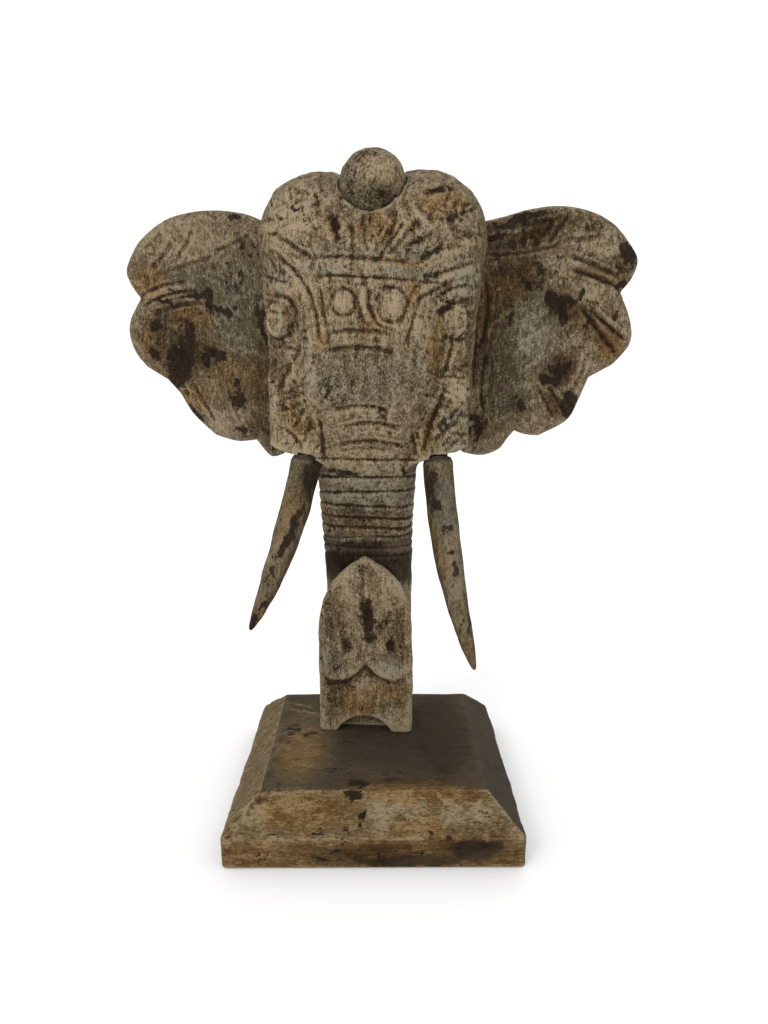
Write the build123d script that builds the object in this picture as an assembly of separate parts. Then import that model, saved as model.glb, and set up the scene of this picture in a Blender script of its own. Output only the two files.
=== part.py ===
"""Carved wooden elephant head on a bevelled plinth, in millimetres.

The origin is the centre of the plinth's underside. +Z is up and the elephant faces -Y.
The head block, ears, tusks and knob are laid out square to the axes in the carving's own
frame, and placed() then turns and shifts them together onto the plinth.
"""
from build123d import *
from math import cos, radians, sin
import os

# Plinth: a square slab with an upright edge band and four bevels.
PLINTH_SIDE = 170.0
PLINTH_BAND = 17.0
PLINTH_HEIGHT = 36.0
PLINTH_BEVEL_RUN = 20.5
PLINTH_EDGE_RADIUS = 2.5

# How the carving stands on the plinth.
CARVING_TURN = -4.0
CARVING_SHIFT_X = -2.7

# Level sections of the trunk and the skull: height, middle in x, width, front y, rear y, corner radius.
TRUNK_SECTIONS = [
    (PLINTH_HEIGHT, -3.7, 57, 20, 57, 12),
    (103, -3.2, 56, 20, 58, 13),
    (148, -3.3, 56, 13, 54, 14),
    (178, -3.4, 58, 4, 46, 15),
    (205, -2.6, 60.5, -7, 38, 16),
    (228, -0.8, 61, -19, 33, 18),
    (250, 0.0, 70, -29, 28, 22),
    (272, 1.0, 79, -36, 22, 25),
    (295, 1.0, 80, -40, 20, 25),
    (325, 1.0, 82, -39, 20, 25),
    (345, 1.5, 76, -33, 20, 24),
    (360, 2.0, 60, -22, 20, 19),
]
SKULL_SECTIONS = [
    (224, 0.0, 114, -6, 44, 16),
    (250, 0.0, 119, -13, 52, 18),
    (285, 0.5, 121, -22, 58, 22),
    (322, 2.0, 127, -27, 60, 24),
    (350, 2.0, 124, -24, 58, 26),
    (366, 2.0, 100, -10, 50, 26),
]

# The two domes of the crown, each a spheroid lying along y.
DOME_X = 29.8
DOME_CENTRE_X = 1.6
DOME_Y = 12.0
DOME_Z = 346.4
DOME_RADIUS = 37.4
DOME_HALF_LENGTH = 45.0

# Cheeks that hold the tusks: upright blocks cut off by slanting undersides.
CHEEK_X = 47.0
CHEEK_SIZE = (24.0, 45.0, 60.0)
CHEEK_FRONT_Y = -15.0
CHEEK_TOP = 272.0
CHEEK_EDGE_RADIUS = 6.0
CHEEK_FOOT_INNER = (36.0, 218.5)
CHEEK_FOOT_SLOPE = 20.0
EYE_PLACE = (50.0, -21.5, 299.0)
EYE_RADIUS = 7.0
EYE_HALF_HEIGHT = 11.0

# Grooves carved round the trunk.
RING_HEIGHTS = [219, 207.5, 197.5, 188, 180.5, 173.5, 167, 160, 153.5]
RING_DEPTH = 1.2
RING_WIDTH = 1.6

# Raised brow panel with two carved rings and two bands over it.
BROW_TOP = (319.0, 52.0)
BROW_FOOT = (281.0, 44.0)
BROW_MIDDLE_X = 1.0
BROW_FRONT_Y = -42.0
BROW_THICKNESS = 12.0
BROW_RING_X = 12.5
BROW_RING_Z = 305.0
BROW_RING_RADII = (8.6, 4.4)
CARVED_LINE = 1.4
# Bands over the panel: middle height, tilt in degrees.
BROW_BANDS = [(323.4, 3.9), (330.4, 5.4)]
BROW_BAND_SIZE = (60.0, 12.0, 3.2)

# Foot block and the pointed trunk tip that stands up in front of the trunk.
FOOT_X = (-34.2, 26.8)
FOOT_FRONT_Y = 4.0
FOOT_REAR_Y = 28.0
FOOT_TOP = 84.0
FOOT_EDGE_RADIUS = 3.0
ARCH_WIDTH = 34.0
ARCH_HEIGHT = 11.0
ARCH_DEPTH = 9.0
TIP_SHOULDER_Z = 92.0
TIP_LOBE_Z = 77.5
TIP_LOBE_X = 15.0
TIP_LOBE_SAG = 5.5
TIP_CUSP = (-2.8, 83.5)
TIP_PEAK = (-3.8, 156.5)
TIP_ARC_X = 24.0
TIP_ARC_Z = 133.0
TIP_FRONT_Y = 0.0
TIP_THICKNESS = 17.0
TIP_BACK_SLOPE = 9.0
NOSTRIL_PLACES = [(-15.5, 98.0), (14.0, 99.0)]
NOSTRIL_RADII = (3.6, 6.2)

# Ears: boards that run outward from a rebate in the head's flanks, swept back.
EAR_ROOT_X = 58.0
EAR_FRONT_Y = 18.0
EAR_SWEEP = 10.0
EAR_THICKNESS = 15.0
EAR_DISH_RADIUS = 190.0
EAR_DISH_DEPTH = 5.0
EAR_DISH_CENTRE = (50.0, 295.0)
# Outlines in the board's plane as (distance out from the root, height), one run of points for
# each lobe of the scalloped rim.
LEFT_EAR = [
    [(0, 353), (20, 363), (46, 366.5), (72, 363), (92, 351), (102.5, 335), (101, 326), (94, 316)],
    [(94, 316), (101.5, 304), (103.5, 294.5), (100.5, 283), (93, 273.5)],
    [(93, 273.5), (79, 265.5)],
    [(79, 265.5), (70, 256), (61, 243), (46, 230)],
    [(46, 230), (31, 226.5), (17.5, 228)],
    [(17.5, 228), (8, 217.5), (0, 220)],
]
RIGHT_EAR = [
    [(0, 355), (20, 359.5), (40, 365), (58.5, 367), (77, 364), (91.5, 356.5), (101.5, 346), (106.5, 337),
     (96.5, 318.5)],
    [(96.5, 318.5), (103, 304), (105.5, 293.5), (103.5, 285), (94.5, 275)],
    [(94.5, 275), (79.5, 267)],
    [(79.5, 267), (73, 252), (66, 240), (48.5, 231)],
    [(48.5, 231), (40, 232), (33, 235)],
    [(33, 235), (28, 229.5), (22.5, 222.5), (12, 219), (0, 221)],
]
EAR_DOWEL_HEIGHTS = {"upper": 335.0, "lower": 262.0}
EAR_DOWEL_INSET = 8.25
EAR_DOWEL_RADIUS = 4.0
EAR_DOWEL_LENGTH = 36.0

# Tusks: root, middle and tip of each centreline arc.
TUSK_ARCS = {
    "left": [(-37.5, -6, 219), (-48.2, -29, 170), (-63, -56, 128)],
    "right": [(41.5, -6, 219), (47.6, -24, 167), (63.8, -44, 102.5)],
}
TUSK_RADIUS = 9.2
TUSK_TAPER = 2.4
TUSK_POINT = 0.75
TUSK_STATIONS = 9
TUSK_TIP_RADIUS = 1.2
TENON_RADIUS = 6.0
TENON_LENGTH = 20.0
SOCKET_CLEARANCE = 0.05
SHOULDER_GAP = 0.3
SOCKET_END_GAP = 1.5
SPOT_FACE_EXTRA = 0.8
SPOT_FACE_REACH = 14.0

# Crown knob: a ball on a collar, tipped forward, with a tenon in the head.
KNOB_CENTRE = (3.5, -14.0, 372.5)
KNOB_TIP_FORWARD = 35.0
KNOB_RADIUS = 18.6
KNOB_SEAT_BELOW = 15.5
COLLAR_RADIUS = 14.5
COLLAR_THICKNESS = 3.0
KNOB_TENON_RADIUS = 5.0
KNOB_TENON_LENGTH = 15.0
KNOB_NICHE_EXTRA = 0.4
KNOB_LIP = (21.6, 4.0)

# Countersunk wood screws that hold the carving from below.
SCREW_SPACING = 30.0
SCREW_Y = 36.0
SCREW_LENGTH = 60.0
SCREW_POINT = 7.0
SCREW_RADIUS = 2.4
SCREW_HEAD_RADIUS = 4.6
SCREW_HEAD_DEPTH = 3.4
SCREW_SINK = 4.0
SCREW_WELL_RADIUS = 5.0
SCREW_PASSAGE_RADIUS = 2.8
SCREW_SLOT = (5.4, 1.1, 1.8)


def placed(shape):
    """Moves a shape from the carving's own frame onto the plinth."""
    return Pos(CARVING_SHIFT_X, 0, 0) * Rot(0, 0, CARVING_TURN) * shape


def rounded_stack(sections, ruled):
    """A solid lofted up through rounded rectangles, straight between them if ruled."""
    faces = []
    for z, x, width, front, rear, corner in sections:
        outline = RectangleRounded(width, rear - front, corner)
        faces.append(Pos(x, (front + rear) / 2, z) * outline)
    return loft(faces, ruled=ruled)


def section_at(sections, z):
    """Middle, width, front, rear and corner radius of a stack at one height, by straight interpolation."""
    for low, high in zip(sections, sections[1:]):
        if low[0] <= z <= high[0]:
            share = (z - low[0]) / (high[0] - low[0])
            return [a + share * (b - a) for a, b in zip(low[1:], high[1:])]
    raise ValueError("height outside the stack")


def spheroid(radius, half_length, axis):
    """A spheroid about the origin, with its half length along axis (Axis.X, Y or Z)."""
    with BuildPart() as body:
        with BuildSketch(Plane.XZ):
            with BuildLine():
                Line((0, -half_length), (0, half_length))
                EllipticalCenterArc((0, 0), radius, half_length, start_angle=-90, arc_size=180)
            make_face()
        revolve(axis=Axis.Z)
    turns = {"X": Rot(0, 90, 0), "Y": Rot(90, 0, 0), "Z": Rot(0, 0, 0)}
    return turns[axis] * body.part


def plinth():
    """The slab: an upright band under a truncated pyramid, wells and passages for two screws."""
    side, top_side = PLINTH_SIDE, PLINTH_SIDE - 2 * PLINTH_BEVEL_RUN
    band = Pos(0, 0, PLINTH_BAND / 2) * Box(side, side, PLINTH_BAND)
    foot_outline = Pos(0, 0, PLINTH_BAND) * Rectangle(side, side)
    top_outline = Pos(0, 0, PLINTH_HEIGHT) * Rectangle(top_side, top_side)
    bevels = loft([foot_outline, top_outline])
    slab = band + bevels
    slab = fillet(slab.edges().filter_by(Axis.Z), PLINTH_EDGE_RADIUS)
    for place in screw_places():
        well = Pos(*place, SCREW_SINK / 2) * Cylinder(SCREW_WELL_RADIUS, SCREW_SINK)
        sink = Pos(*place, SCREW_SINK + SCREW_HEAD_DEPTH / 2) * Cone(
            SCREW_HEAD_RADIUS, SCREW_PASSAGE_RADIUS, SCREW_HEAD_DEPTH
        )
        passage = Pos(*place, PLINTH_HEIGHT / 2) * Cylinder(SCREW_PASSAGE_RADIUS, PLINTH_HEIGHT)
        slab -= well + sink + passage
    return slab


def screw_places():
    """Where the two screws stand, in the plinth's frame."""
    middle_x = (FOOT_X[0] + FOOT_X[1]) / 2
    places = []
    for side in (-1, 1):
        spot = Vector(middle_x + side * SCREW_SPACING / 2, SCREW_Y, 0).rotate(Axis.Z, CARVING_TURN)
        places.append((spot.X + CARVING_SHIFT_X, spot.Y))
    return places


def screw(place):
    """A countersunk wood screw with a crossed slot, standing on its head."""
    head = Pos(0, 0, SCREW_HEAD_DEPTH / 2) * Cone(SCREW_HEAD_RADIUS, SCREW_RADIUS, SCREW_HEAD_DEPTH)
    shank_length = SCREW_LENGTH - SCREW_HEAD_DEPTH - SCREW_POINT
    shank = Pos(0, 0, SCREW_HEAD_DEPTH + shank_length / 2) * Cylinder(SCREW_RADIUS, shank_length)
    point = Pos(0, 0, SCREW_LENGTH - SCREW_POINT / 2) * Cone(SCREW_RADIUS, 0.3, SCREW_POINT)
    length, width, depth = SCREW_SLOT
    slots = Box(length, width, 2 * depth) + Box(width, length, 2 * depth)
    return Pos(*place, SCREW_SINK) * (head + shank + point - slots)


def trunk():
    """The trunk with its ring grooves."""
    body = rounded_stack(TRUNK_SECTIONS, ruled=True)
    for z in RING_HEIGHTS:
        x, width, front, rear, corner = section_at(TRUNK_SECTIONS, z)
        core = RectangleRounded(width - 2 * RING_DEPTH, rear - front - 2 * RING_DEPTH, corner - RING_DEPTH)
        slab = Pos(x, (front + rear) / 2, z) * Box(2 * width, 2 * (rear - front), RING_WIDTH)
        keep = Pos(x, (front + rear) / 2, z - RING_WIDTH / 2) * extrude(core, RING_WIDTH)
        body -= slab - keep
    return body


def trunk_tip():
    """The foot block with its arch, and the pointed tip plate above it with two nostrils."""
    left, right = FOOT_X
    middle = (left + right) / 2
    block_depth = FOOT_REAR_Y - FOOT_FRONT_Y
    block_height = FOOT_TOP - PLINTH_HEIGHT
    block = Pos(middle, FOOT_FRONT_Y + block_depth / 2, PLINTH_HEIGHT + block_height / 2) * Box(
        right - left, block_depth, block_height
    )
    block = fillet(block.edges().filter_by(Axis.Z), FOOT_EDGE_RADIUS)
    arch_radius = (ARCH_WIDTH**2 / 4 + ARCH_HEIGHT**2) / (2 * ARCH_HEIGHT)
    arch = Pos(middle, FOOT_FRONT_Y + ARCH_DEPTH / 2, PLINTH_HEIGHT + ARCH_HEIGHT - arch_radius) * (
        Rot(90, 0, 0) * Cylinder(arch_radius, ARCH_DEPTH)
    )
    block -= arch
    with BuildPart() as plate:
        with BuildSketch(Plane.XZ.offset(-TIP_FRONT_Y)):
            with BuildLine():
                Line((left, TIP_LOBE_Z), (left, TIP_SHOULDER_Z))
                ThreePointArc((left, TIP_SHOULDER_Z), (middle - TIP_ARC_X, TIP_ARC_Z), TIP_PEAK)
                ThreePointArc(TIP_PEAK, (middle + TIP_ARC_X, TIP_ARC_Z), (right, TIP_SHOULDER_Z))
                Line((right, TIP_SHOULDER_Z), (right, TIP_LOBE_Z))
                lobe_z = TIP_LOBE_Z - TIP_LOBE_SAG
                ThreePointArc((right, TIP_LOBE_Z), (middle + TIP_LOBE_X, lobe_z), TIP_CUSP)
                ThreePointArc(TIP_CUSP, (middle - TIP_LOBE_X, lobe_z), (left, TIP_LOBE_Z))
            make_face()
        extrude(amount=-TIP_THICKNESS)
    behind = Pos(0, 20, 60) * Box(90, 40, 120)
    tip = plate.part - Pos(middle, TIP_THICKNESS, TIP_SHOULDER_Z) * Rot(TIP_BACK_SLOPE, 0, 0) * behind
    radius, half_height = NOSTRIL_RADII
    for x, z in NOSTRIL_PLACES:
        tip -= Pos(x, TIP_FRONT_Y - radius / 4, z) * spheroid(radius, half_height, "Z")
    return block + tip


def skull():
    """The skull with its two domes, cheeks and eyes."""
    body = rounded_stack(SKULL_SECTIONS, ruled=False)
    dome = spheroid(DOME_RADIUS, DOME_HALF_LENGTH, "Y")
    eye = spheroid(EYE_RADIUS, EYE_HALF_HEIGHT, "Z")
    eye_x, eye_y, eye_z = EYE_PLACE
    for side in (-1, 1):
        body += Pos(DOME_CENTRE_X + side * DOME_X, DOME_Y, DOME_Z) * dome
        body += cheek(side)
        body += Pos(side * eye_x, eye_y, eye_z) * eye
    return body


def cheek(side):
    """One cheek: an upright block with rounded edges, cut off by a slanting underside."""
    _, depth, height = CHEEK_SIZE
    block = fillet(Box(*CHEEK_SIZE).edges(), CHEEK_EDGE_RADIUS)
    block = Pos(side * CHEEK_X, CHEEK_FRONT_Y + depth / 2, CHEEK_TOP - height / 2) * block
    x, z = CHEEK_FOOT_INNER
    below = Pos(side * 20, 0, -50) * Box(120, 160, 100)
    return block - Pos(side * x, 0, z) * Rot(0, -side * CHEEK_FOOT_SLOPE, 0) * below


def brow():
    """The raised brow panel between the eyes, with two carved rings."""
    (top_z, top_width), (foot_z, foot_width) = BROW_TOP, BROW_FOOT
    top_left, top_right = (-top_width / 2, top_z), (top_width / 2, top_z)
    foot_left, foot_right = (-foot_width / 2, foot_z), (foot_width / 2, foot_z)
    outline = make_face(Polyline(top_left, top_right, foot_right, foot_left, close=True))
    panel = Pos(BROW_MIDDLE_X, BROW_FRONT_Y, 0) * extrude(Plane.XZ * outline, -BROW_THICKNESS)
    outer, inner = BROW_RING_RADII
    for side in (-1, 1):
        ring = Circle(outer) - Circle(outer - CARVED_LINE) + (Circle(inner) - Circle(inner - CARVED_LINE))
        cut = extrude(Plane.XZ * ring, CARVED_LINE, both=True)
        panel -= Pos(BROW_MIDDLE_X + side * BROW_RING_X, BROW_FRONT_Y, BROW_RING_Z) * cut
    band = Pos(0, BROW_BAND_SIZE[1] / 2, 0) * Box(*BROW_BAND_SIZE)
    for z, tilt in BROW_BANDS:
        panel += Pos(BROW_MIDDLE_X, BROW_FRONT_Y, z) * Rot(0, tilt, 0) * band
    return panel


def ear_frame(side):
    """Location of an ear board: x runs outward along it, y through its thickness, z up."""
    turn = EAR_SWEEP if side > 0 else 180 - EAR_SWEEP
    return Pos(side * EAR_ROOT_X, EAR_FRONT_Y, 0) * Rot(0, 0, turn)


def ear(side, lobes):
    """An ear board with a dished front face."""
    near = 1 if side > 0 else -1
    with BuildPart() as board:
        with BuildSketch(Plane.XZ):
            with BuildLine():
                for lobe in lobes:
                    Spline(*lobe) if len(lobe) > 2 else Line(*lobe)
                Line(lobes[-1][-1], lobes[0][0])
            make_face()
        extrude(amount=-near * EAR_THICKNESS)
    u, z = EAR_DISH_CENTRE
    dish_y = -near * (EAR_DISH_RADIUS - EAR_DISH_DEPTH)
    body = board.part - Pos(u, dish_y, z) * Sphere(EAR_DISH_RADIUS)
    return ear_frame(side) * body


def ear_rebate(side):
    """What an ear takes out of the head's flank: everything outside and behind the board's front."""
    near = 1 if side > 0 else -1
    return ear_frame(side) * (Pos(60, near * 60, 290) * Box(120, 120, 240))


def ear_dowel(side, height):
    """A dowel half in the head and half in an ear, near the middle of the board's thickness."""
    near = 1 if side > 0 else -1
    pin = Rot(0, 90, 0) * Cylinder(EAR_DOWEL_RADIUS, EAR_DOWEL_LENGTH)
    return ear_frame(side) * (Pos(0, near * EAR_DOWEL_INSET, height) * pin)


def tusk_line(name):
    """The tusk's centreline, and the plane at its root whose z runs down into the tusk."""
    line = ThreePointArc(*TUSK_ARCS[name])
    return line, Plane(origin=line @ 0, z_dir=line % 0)


def tusk(name):
    """A tusk with a round tenon on its root."""
    line, root = tusk_line(name)
    sections = []
    for i in range(TUSK_STATIONS):
        share = i / (TUSK_STATIONS - 1)
        swell = (1 - share**TUSK_TAPER) ** TUSK_POINT
        radius = TUSK_TIP_RADIUS + (TUSK_RADIUS - TUSK_TIP_RADIUS) * swell
        sections.append(Plane(origin=line @ share, z_dir=line % share) * Circle(radius))
    body = loft(sections) + Pos(line @ 1) * Sphere(TUSK_TIP_RADIUS)
    tenon = root * (Pos(0, 0, -TENON_LENGTH / 2) * Cylinder(TENON_RADIUS, TENON_LENGTH))
    return body + tenon


def tusk_socket(name):
    """The socket for a tusk's tenon, and the flat faced round it for the tusk's shoulder."""
    _, root = tusk_line(name)
    depth = TENON_LENGTH + SOCKET_END_GAP
    bore = Pos(0, 0, -depth / 2) * Cylinder(TENON_RADIUS + SOCKET_CLEARANCE, depth)
    reach = SPOT_FACE_REACH + SHOULDER_GAP
    flat = Pos(0, 0, reach / 2 - SHOULDER_GAP) * Cylinder(TUSK_RADIUS + SPOT_FACE_EXTRA, reach)
    return root * (bore + flat)


def knob_plane():
    """The plane under the knob's collar, with z along the knob's axis."""
    x, y, z = KNOB_CENTRE
    lean = radians(KNOB_TIP_FORWARD)
    axis = Vector(0, -sin(lean), cos(lean))
    return Plane(origin=Vector(x, y, z) - axis * KNOB_SEAT_BELOW, z_dir=axis)


def crown_knob():
    """The ball, its collar and its tenon."""
    ball = Pos(0, 0, KNOB_SEAT_BELOW) * Sphere(KNOB_RADIUS)
    ball -= Pos(0, 0, -KNOB_RADIUS) * Box(60, 60, 2 * KNOB_RADIUS)
    collar = Pos(0, 0, COLLAR_THICKNESS / 2) * Cylinder(COLLAR_RADIUS, COLLAR_THICKNESS)
    tenon = Pos(0, 0, -KNOB_TENON_LENGTH / 2) * Cylinder(KNOB_TENON_RADIUS, KNOB_TENON_LENGTH)
    return knob_plane() * (ball + collar + tenon)


def knob_lip():
    """A low round lip on the head round the knob's foot, filled in down to the forehead."""
    radius, height = KNOB_LIP
    depth = KNOB_TENON_LENGTH
    return knob_plane() * (Pos(0, 0, (height - depth) / 2) * Cylinder(radius, height + depth))


def knob_niche():
    """What the knob takes out of the head: a hollow that follows the ball, its collar's and its tenon's."""
    radius = KNOB_RADIUS + KNOB_NICHE_EXTRA
    hollow = Pos(0, 0, KNOB_SEAT_BELOW) * Sphere(radius)
    hollow -= Pos(0, 0, -radius) * Box(4 * radius, 4 * radius, 2 * radius)
    above = Pos(0, 0, KNOB_SEAT_BELOW + radius / 2) * Cylinder(radius, radius)
    collar_radius = COLLAR_RADIUS + KNOB_NICHE_EXTRA
    collar = Pos(0, 0, COLLAR_THICKNESS / 2) * Cylinder(collar_radius, COLLAR_THICKNESS)
    hole = Pos(0, 0, -KNOB_TENON_LENGTH / 2) * Cylinder(KNOB_TENON_RADIUS, KNOB_TENON_LENGTH)
    return knob_plane() * (hollow + above + collar + hole)


def head_and_trunk():
    """The one carved block: skull, brow, trunk and trunk tip, with every joint cut into it."""
    body = skull() + trunk()
    body += brow()
    body += trunk_tip()
    body += knob_lip()
    body -= knob_niche()
    for side in (-1, 1):
        body -= ear_rebate(side)
        for height in EAR_DOWEL_HEIGHTS.values():
            body -= ear_dowel(side, height)
    for name in TUSK_ARCS:
        body -= tusk_socket(name)
    body = placed(body)
    for place in screw_places():
        body -= screw(place)
    return body


def write(name, shape):
    """Writes one node, and prints its volume."""
    solids = shape.solids()
    node = Compound(children=list(solids)) if len(solids) > 1 else solids[0]
    export_step(node, f"parts/{name}.step")
    print(f"{name:24s} solids {len(solids)}  volume {shape.volume / 1000:8.2f} cm3")


def main():
    os.makedirs("parts", exist_ok=True)
    write("plinth", plinth())
    write("head_and_trunk", head_and_trunk())
    for name, side, lobes in (("left", -1, LEFT_EAR), ("right", 1, RIGHT_EAR)):
        board = ear(side, lobes)
        for level, height in EAR_DOWEL_HEIGHTS.items():
            dowel = ear_dowel(side, height)
            board -= dowel
            write(f"ear_dowel_{name}_{level}", placed(dowel))
        write(f"ear_{name}", placed(board))
        write(f"tusk_{name}", placed(tusk(name)))
    write("crown_knob", placed(crown_knob()))
    for name, place in zip(("left", "right"), screw_places()):
        write(f"plinth_screw_{name}", screw(place))


main()
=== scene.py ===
"""Looks of the carved wooden elephant: sculpted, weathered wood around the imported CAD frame.

Shapes are worked out in millimetres in the carving's own frame, with x to the viewer's right,
y away from the viewer and z up from the plinth's underside. to_world() turns and shifts them
onto the plinth as the CAD does, and makes metres of them.
"""
import itertools
import math

import bpy
import numpy as np
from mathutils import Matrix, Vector


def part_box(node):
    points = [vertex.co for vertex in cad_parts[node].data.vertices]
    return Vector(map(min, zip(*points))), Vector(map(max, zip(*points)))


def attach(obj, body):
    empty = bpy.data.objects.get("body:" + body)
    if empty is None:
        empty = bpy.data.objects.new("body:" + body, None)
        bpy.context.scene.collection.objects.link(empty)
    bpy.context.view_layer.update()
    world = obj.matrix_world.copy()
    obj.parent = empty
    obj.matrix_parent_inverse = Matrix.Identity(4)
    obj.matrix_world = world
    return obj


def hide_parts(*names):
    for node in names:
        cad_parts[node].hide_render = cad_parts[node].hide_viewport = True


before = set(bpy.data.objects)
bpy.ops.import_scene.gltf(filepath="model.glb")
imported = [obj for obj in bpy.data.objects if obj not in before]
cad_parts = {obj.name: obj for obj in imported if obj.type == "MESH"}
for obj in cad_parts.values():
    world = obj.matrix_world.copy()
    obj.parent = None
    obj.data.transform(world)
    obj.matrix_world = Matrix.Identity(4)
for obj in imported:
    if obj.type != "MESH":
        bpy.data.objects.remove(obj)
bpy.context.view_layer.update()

# ---------------------------------------------------------------- shared sizes, as in the CAD

CARVING_TURN = math.radians(-4.0)
CARVING_SHIFT_X = -2.7
PLINTH_SIDE = 170.0
PLINTH_BAND = 17.0
PLINTH_HEIGHT = 36.0
PLINTH_BEVEL_RUN = 20.5
PLINTH_CORNER_CUT = 2.0
# What the rough surface starts outside the smooth one, so that its wear doesn't shrink the plinth.
PLINTH_SPARE = 0.2
SCREW_WELL_RADIUS = 5.0
SCREW_SINK = 4.0

# Level cuts: height, middle x, width, front y, rear y, corner radius.
TRUNK_ROWS = [
    (30, -3.7, 57, 20, 57, 12),
    (103, -3.2, 56, 20, 58, 13),
    (148, -3.3, 56, 13, 54, 14),
    (178, -3.4, 58, 4, 46, 15),
    (205, -2.6, 60.5, -7, 38, 16),
    (228, -0.8, 61, -19, 33, 18),
    (250, 0.0, 70, -29, 28, 22),
    (272, 1.0, 79, -36, 22, 25),
    (295, 1.0, 80, -40, 20, 25),
    (325, 1.0, 82, -39, 20, 25),
    (345, 1.5, 76, -33, 20, 24),
    (360, 2.0, 60, -22, 20, 19),
]
SKULL_ROWS = [
    (224, 0.0, 114, -6, 44, 16),
    (250, 0.0, 119, -13, 52, 18),
    (285, 0.5, 121, -22, 58, 22),
    (322, 2.0, 127, -27, 60, 24),
    (350, 2.0, 124, -24, 58, 26),
    (366, 2.0, 100, -10, 50, 26),
]
DOME_X = 29.8
DOME_MIDDLE = (1.6, 12.0, 346.4)
DOME_RADII = (37.4, 45.0, 37.4)
EYE_PLACE = (49.5, -21.5, 299.5)
EYE_RADII = (7.0, 4.4, 10.5)
# The cheeks' blocks: from the middle out, front to back, and bottom to top.
CHEEK_X = (25.0, 59.0)
CHEEK_Y = (-15.0, 30.0)
CHEEK_Z = (200.0, 272.0)
CHEEK_CORNER = 7.0
# The height of the cheeks' undersides. They rise outward and drop inward: from which x, and how steeply.
JAW_LINE = 218.5
JAW_OUTER = (36.0, 0.36)
JAW_INNER = (34.0, 0.3)

FOOT_X = (-34.2, 26.8)
FOOT_Y = (4.0, 28.0)
FOOT_TOP = 84.0
FOOT_CORNER = 3.5
ARCH_MIDDLE = (-4.5, 29.0)
ARCH_RADII = (19.5, 18.0)
ARCH_BACK_Y = 13.0

KNOB_CENTRE = (3.5, -14.0, 372.5)
KNOB_LEAN = math.radians(35.0)
KNOB_RADIUS = 18.6
KNOB_SEAT_BELOW = 15.5
COLLAR_RADIUS = 14.5
KNOB_LIP = (21.6, 4.0)
COLLAR_HEIGHT = 3.0
KNOB_TENON_RADIUS = 5.0
KNOB_TENON_LENGTH = 15.0
KNOB_GAP = 0.4
# The shallow dent in the knob's front: its middle across and up, how far it spreads, and its depth.
DENT_MIDDLE = (7.0, 362.5)
DENT_SPREAD = (7.0, 4.0)
DENT_DEPTH = 0.8

TUSK_ARCS = {
    "left": [(-37.5, -6, 219), (-48.2, -29, 170), (-63, -56, 128)],
    "right": [(41.5, -6, 219), (47.6, -24, 167), (63.8, -44, 102.5)],
}
TUSK_RADIUS = 9.2
TUSK_TIP_RADIUS = 1.2
TUSK_TAPER = 2.4
TUSK_POINT = 0.75
TUSK_SIDES = 72
TENON_RADIUS = 6.0
TENON_LENGTH = 20.0
SOCKET_DEPTH = 21.5
SOCKET_GAP = 0.6

EAR_ROOT_X = 58.0
EAR_FRONT_Y = 18.0
EAR_SWEEP = math.radians(10.0)
EAR_THICKNESS = 15.0
# The hollow of an ear's front: its middle out and up, how far it spreads each way, and its depth.
EAR_DISH_MIDDLE = (50.0, 292.0)
EAR_DISH_SPREAD = (34.0, 42.0)
EAR_DISH_DEPTH = 4.0
# How far an ear's rim is worn away, and over what width, in front and behind.
EAR_FRONT_WEAR = (3.0, 8.0)
EAR_BACK_WEAR = (2.0, 12.0)
EAR_OUTLINES = {
    "left": [
        [(0, 353), (20, 363), (46, 366.5), (72, 363), (92, 351), (102.5, 335), (101, 326), (94, 316)],
        [(94, 316), (101.5, 304), (103.5, 294.5), (100.5, 283), (93, 273.5)],
        [(93, 273.5), (79, 265.5)],
        [(79, 265.5), (70, 256), (61, 243), (46, 230)],
        [(46, 230), (31, 226.5), (17.5, 228)],
        [(17.5, 228), (8, 217.5), (0, 220)],
    ],
    "right": [
        [
            (0, 355), (20, 359.5), (40, 365), (58.5, 367), (77, 364), (91.5, 356.5), (101.5, 346),
            (106.5, 337), (103.5, 327), (96.5, 318.5),
        ],
        [(96.5, 318.5), (103, 304), (105.5, 293.5), (103.5, 285), (94.5, 275)],
        [(94.5, 275), (79.5, 267)],
        [(79.5, 267), (73, 252), (66, 240), (48.5, 231)],
        [(48.5, 231), (40, 232), (33, 235)],
        [(33, 235), (28, 229.5), (22.5, 222.5), (12, 219), (0, 221)],
    ],
}

# ---------------------------------------------------------------- carved lines

# The cross-section of a cut. Places and widths are in half widths of the line, apart from the width of
# the fainter second cut beside it, and shares are of the line's depth.
CORE_WIDTH = 0.58
CORE_SHARE = 0.36
SHOULDER_WIDTH = 2.6
SHOULDER_SHARE = 0.22
BURR_PLACE = 1.7
BURR_WIDTH = 0.6
BURR_SHARE = -0.2
SECOND_PLACE = 2.1
SECOND_WIDTH_MM = 0.7
SECOND_STRENGTH = 0.45
SECOND_SHARE = 0.22
# The part of a line's length over which each of its ends fades.
END_FADE = 0.15

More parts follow.
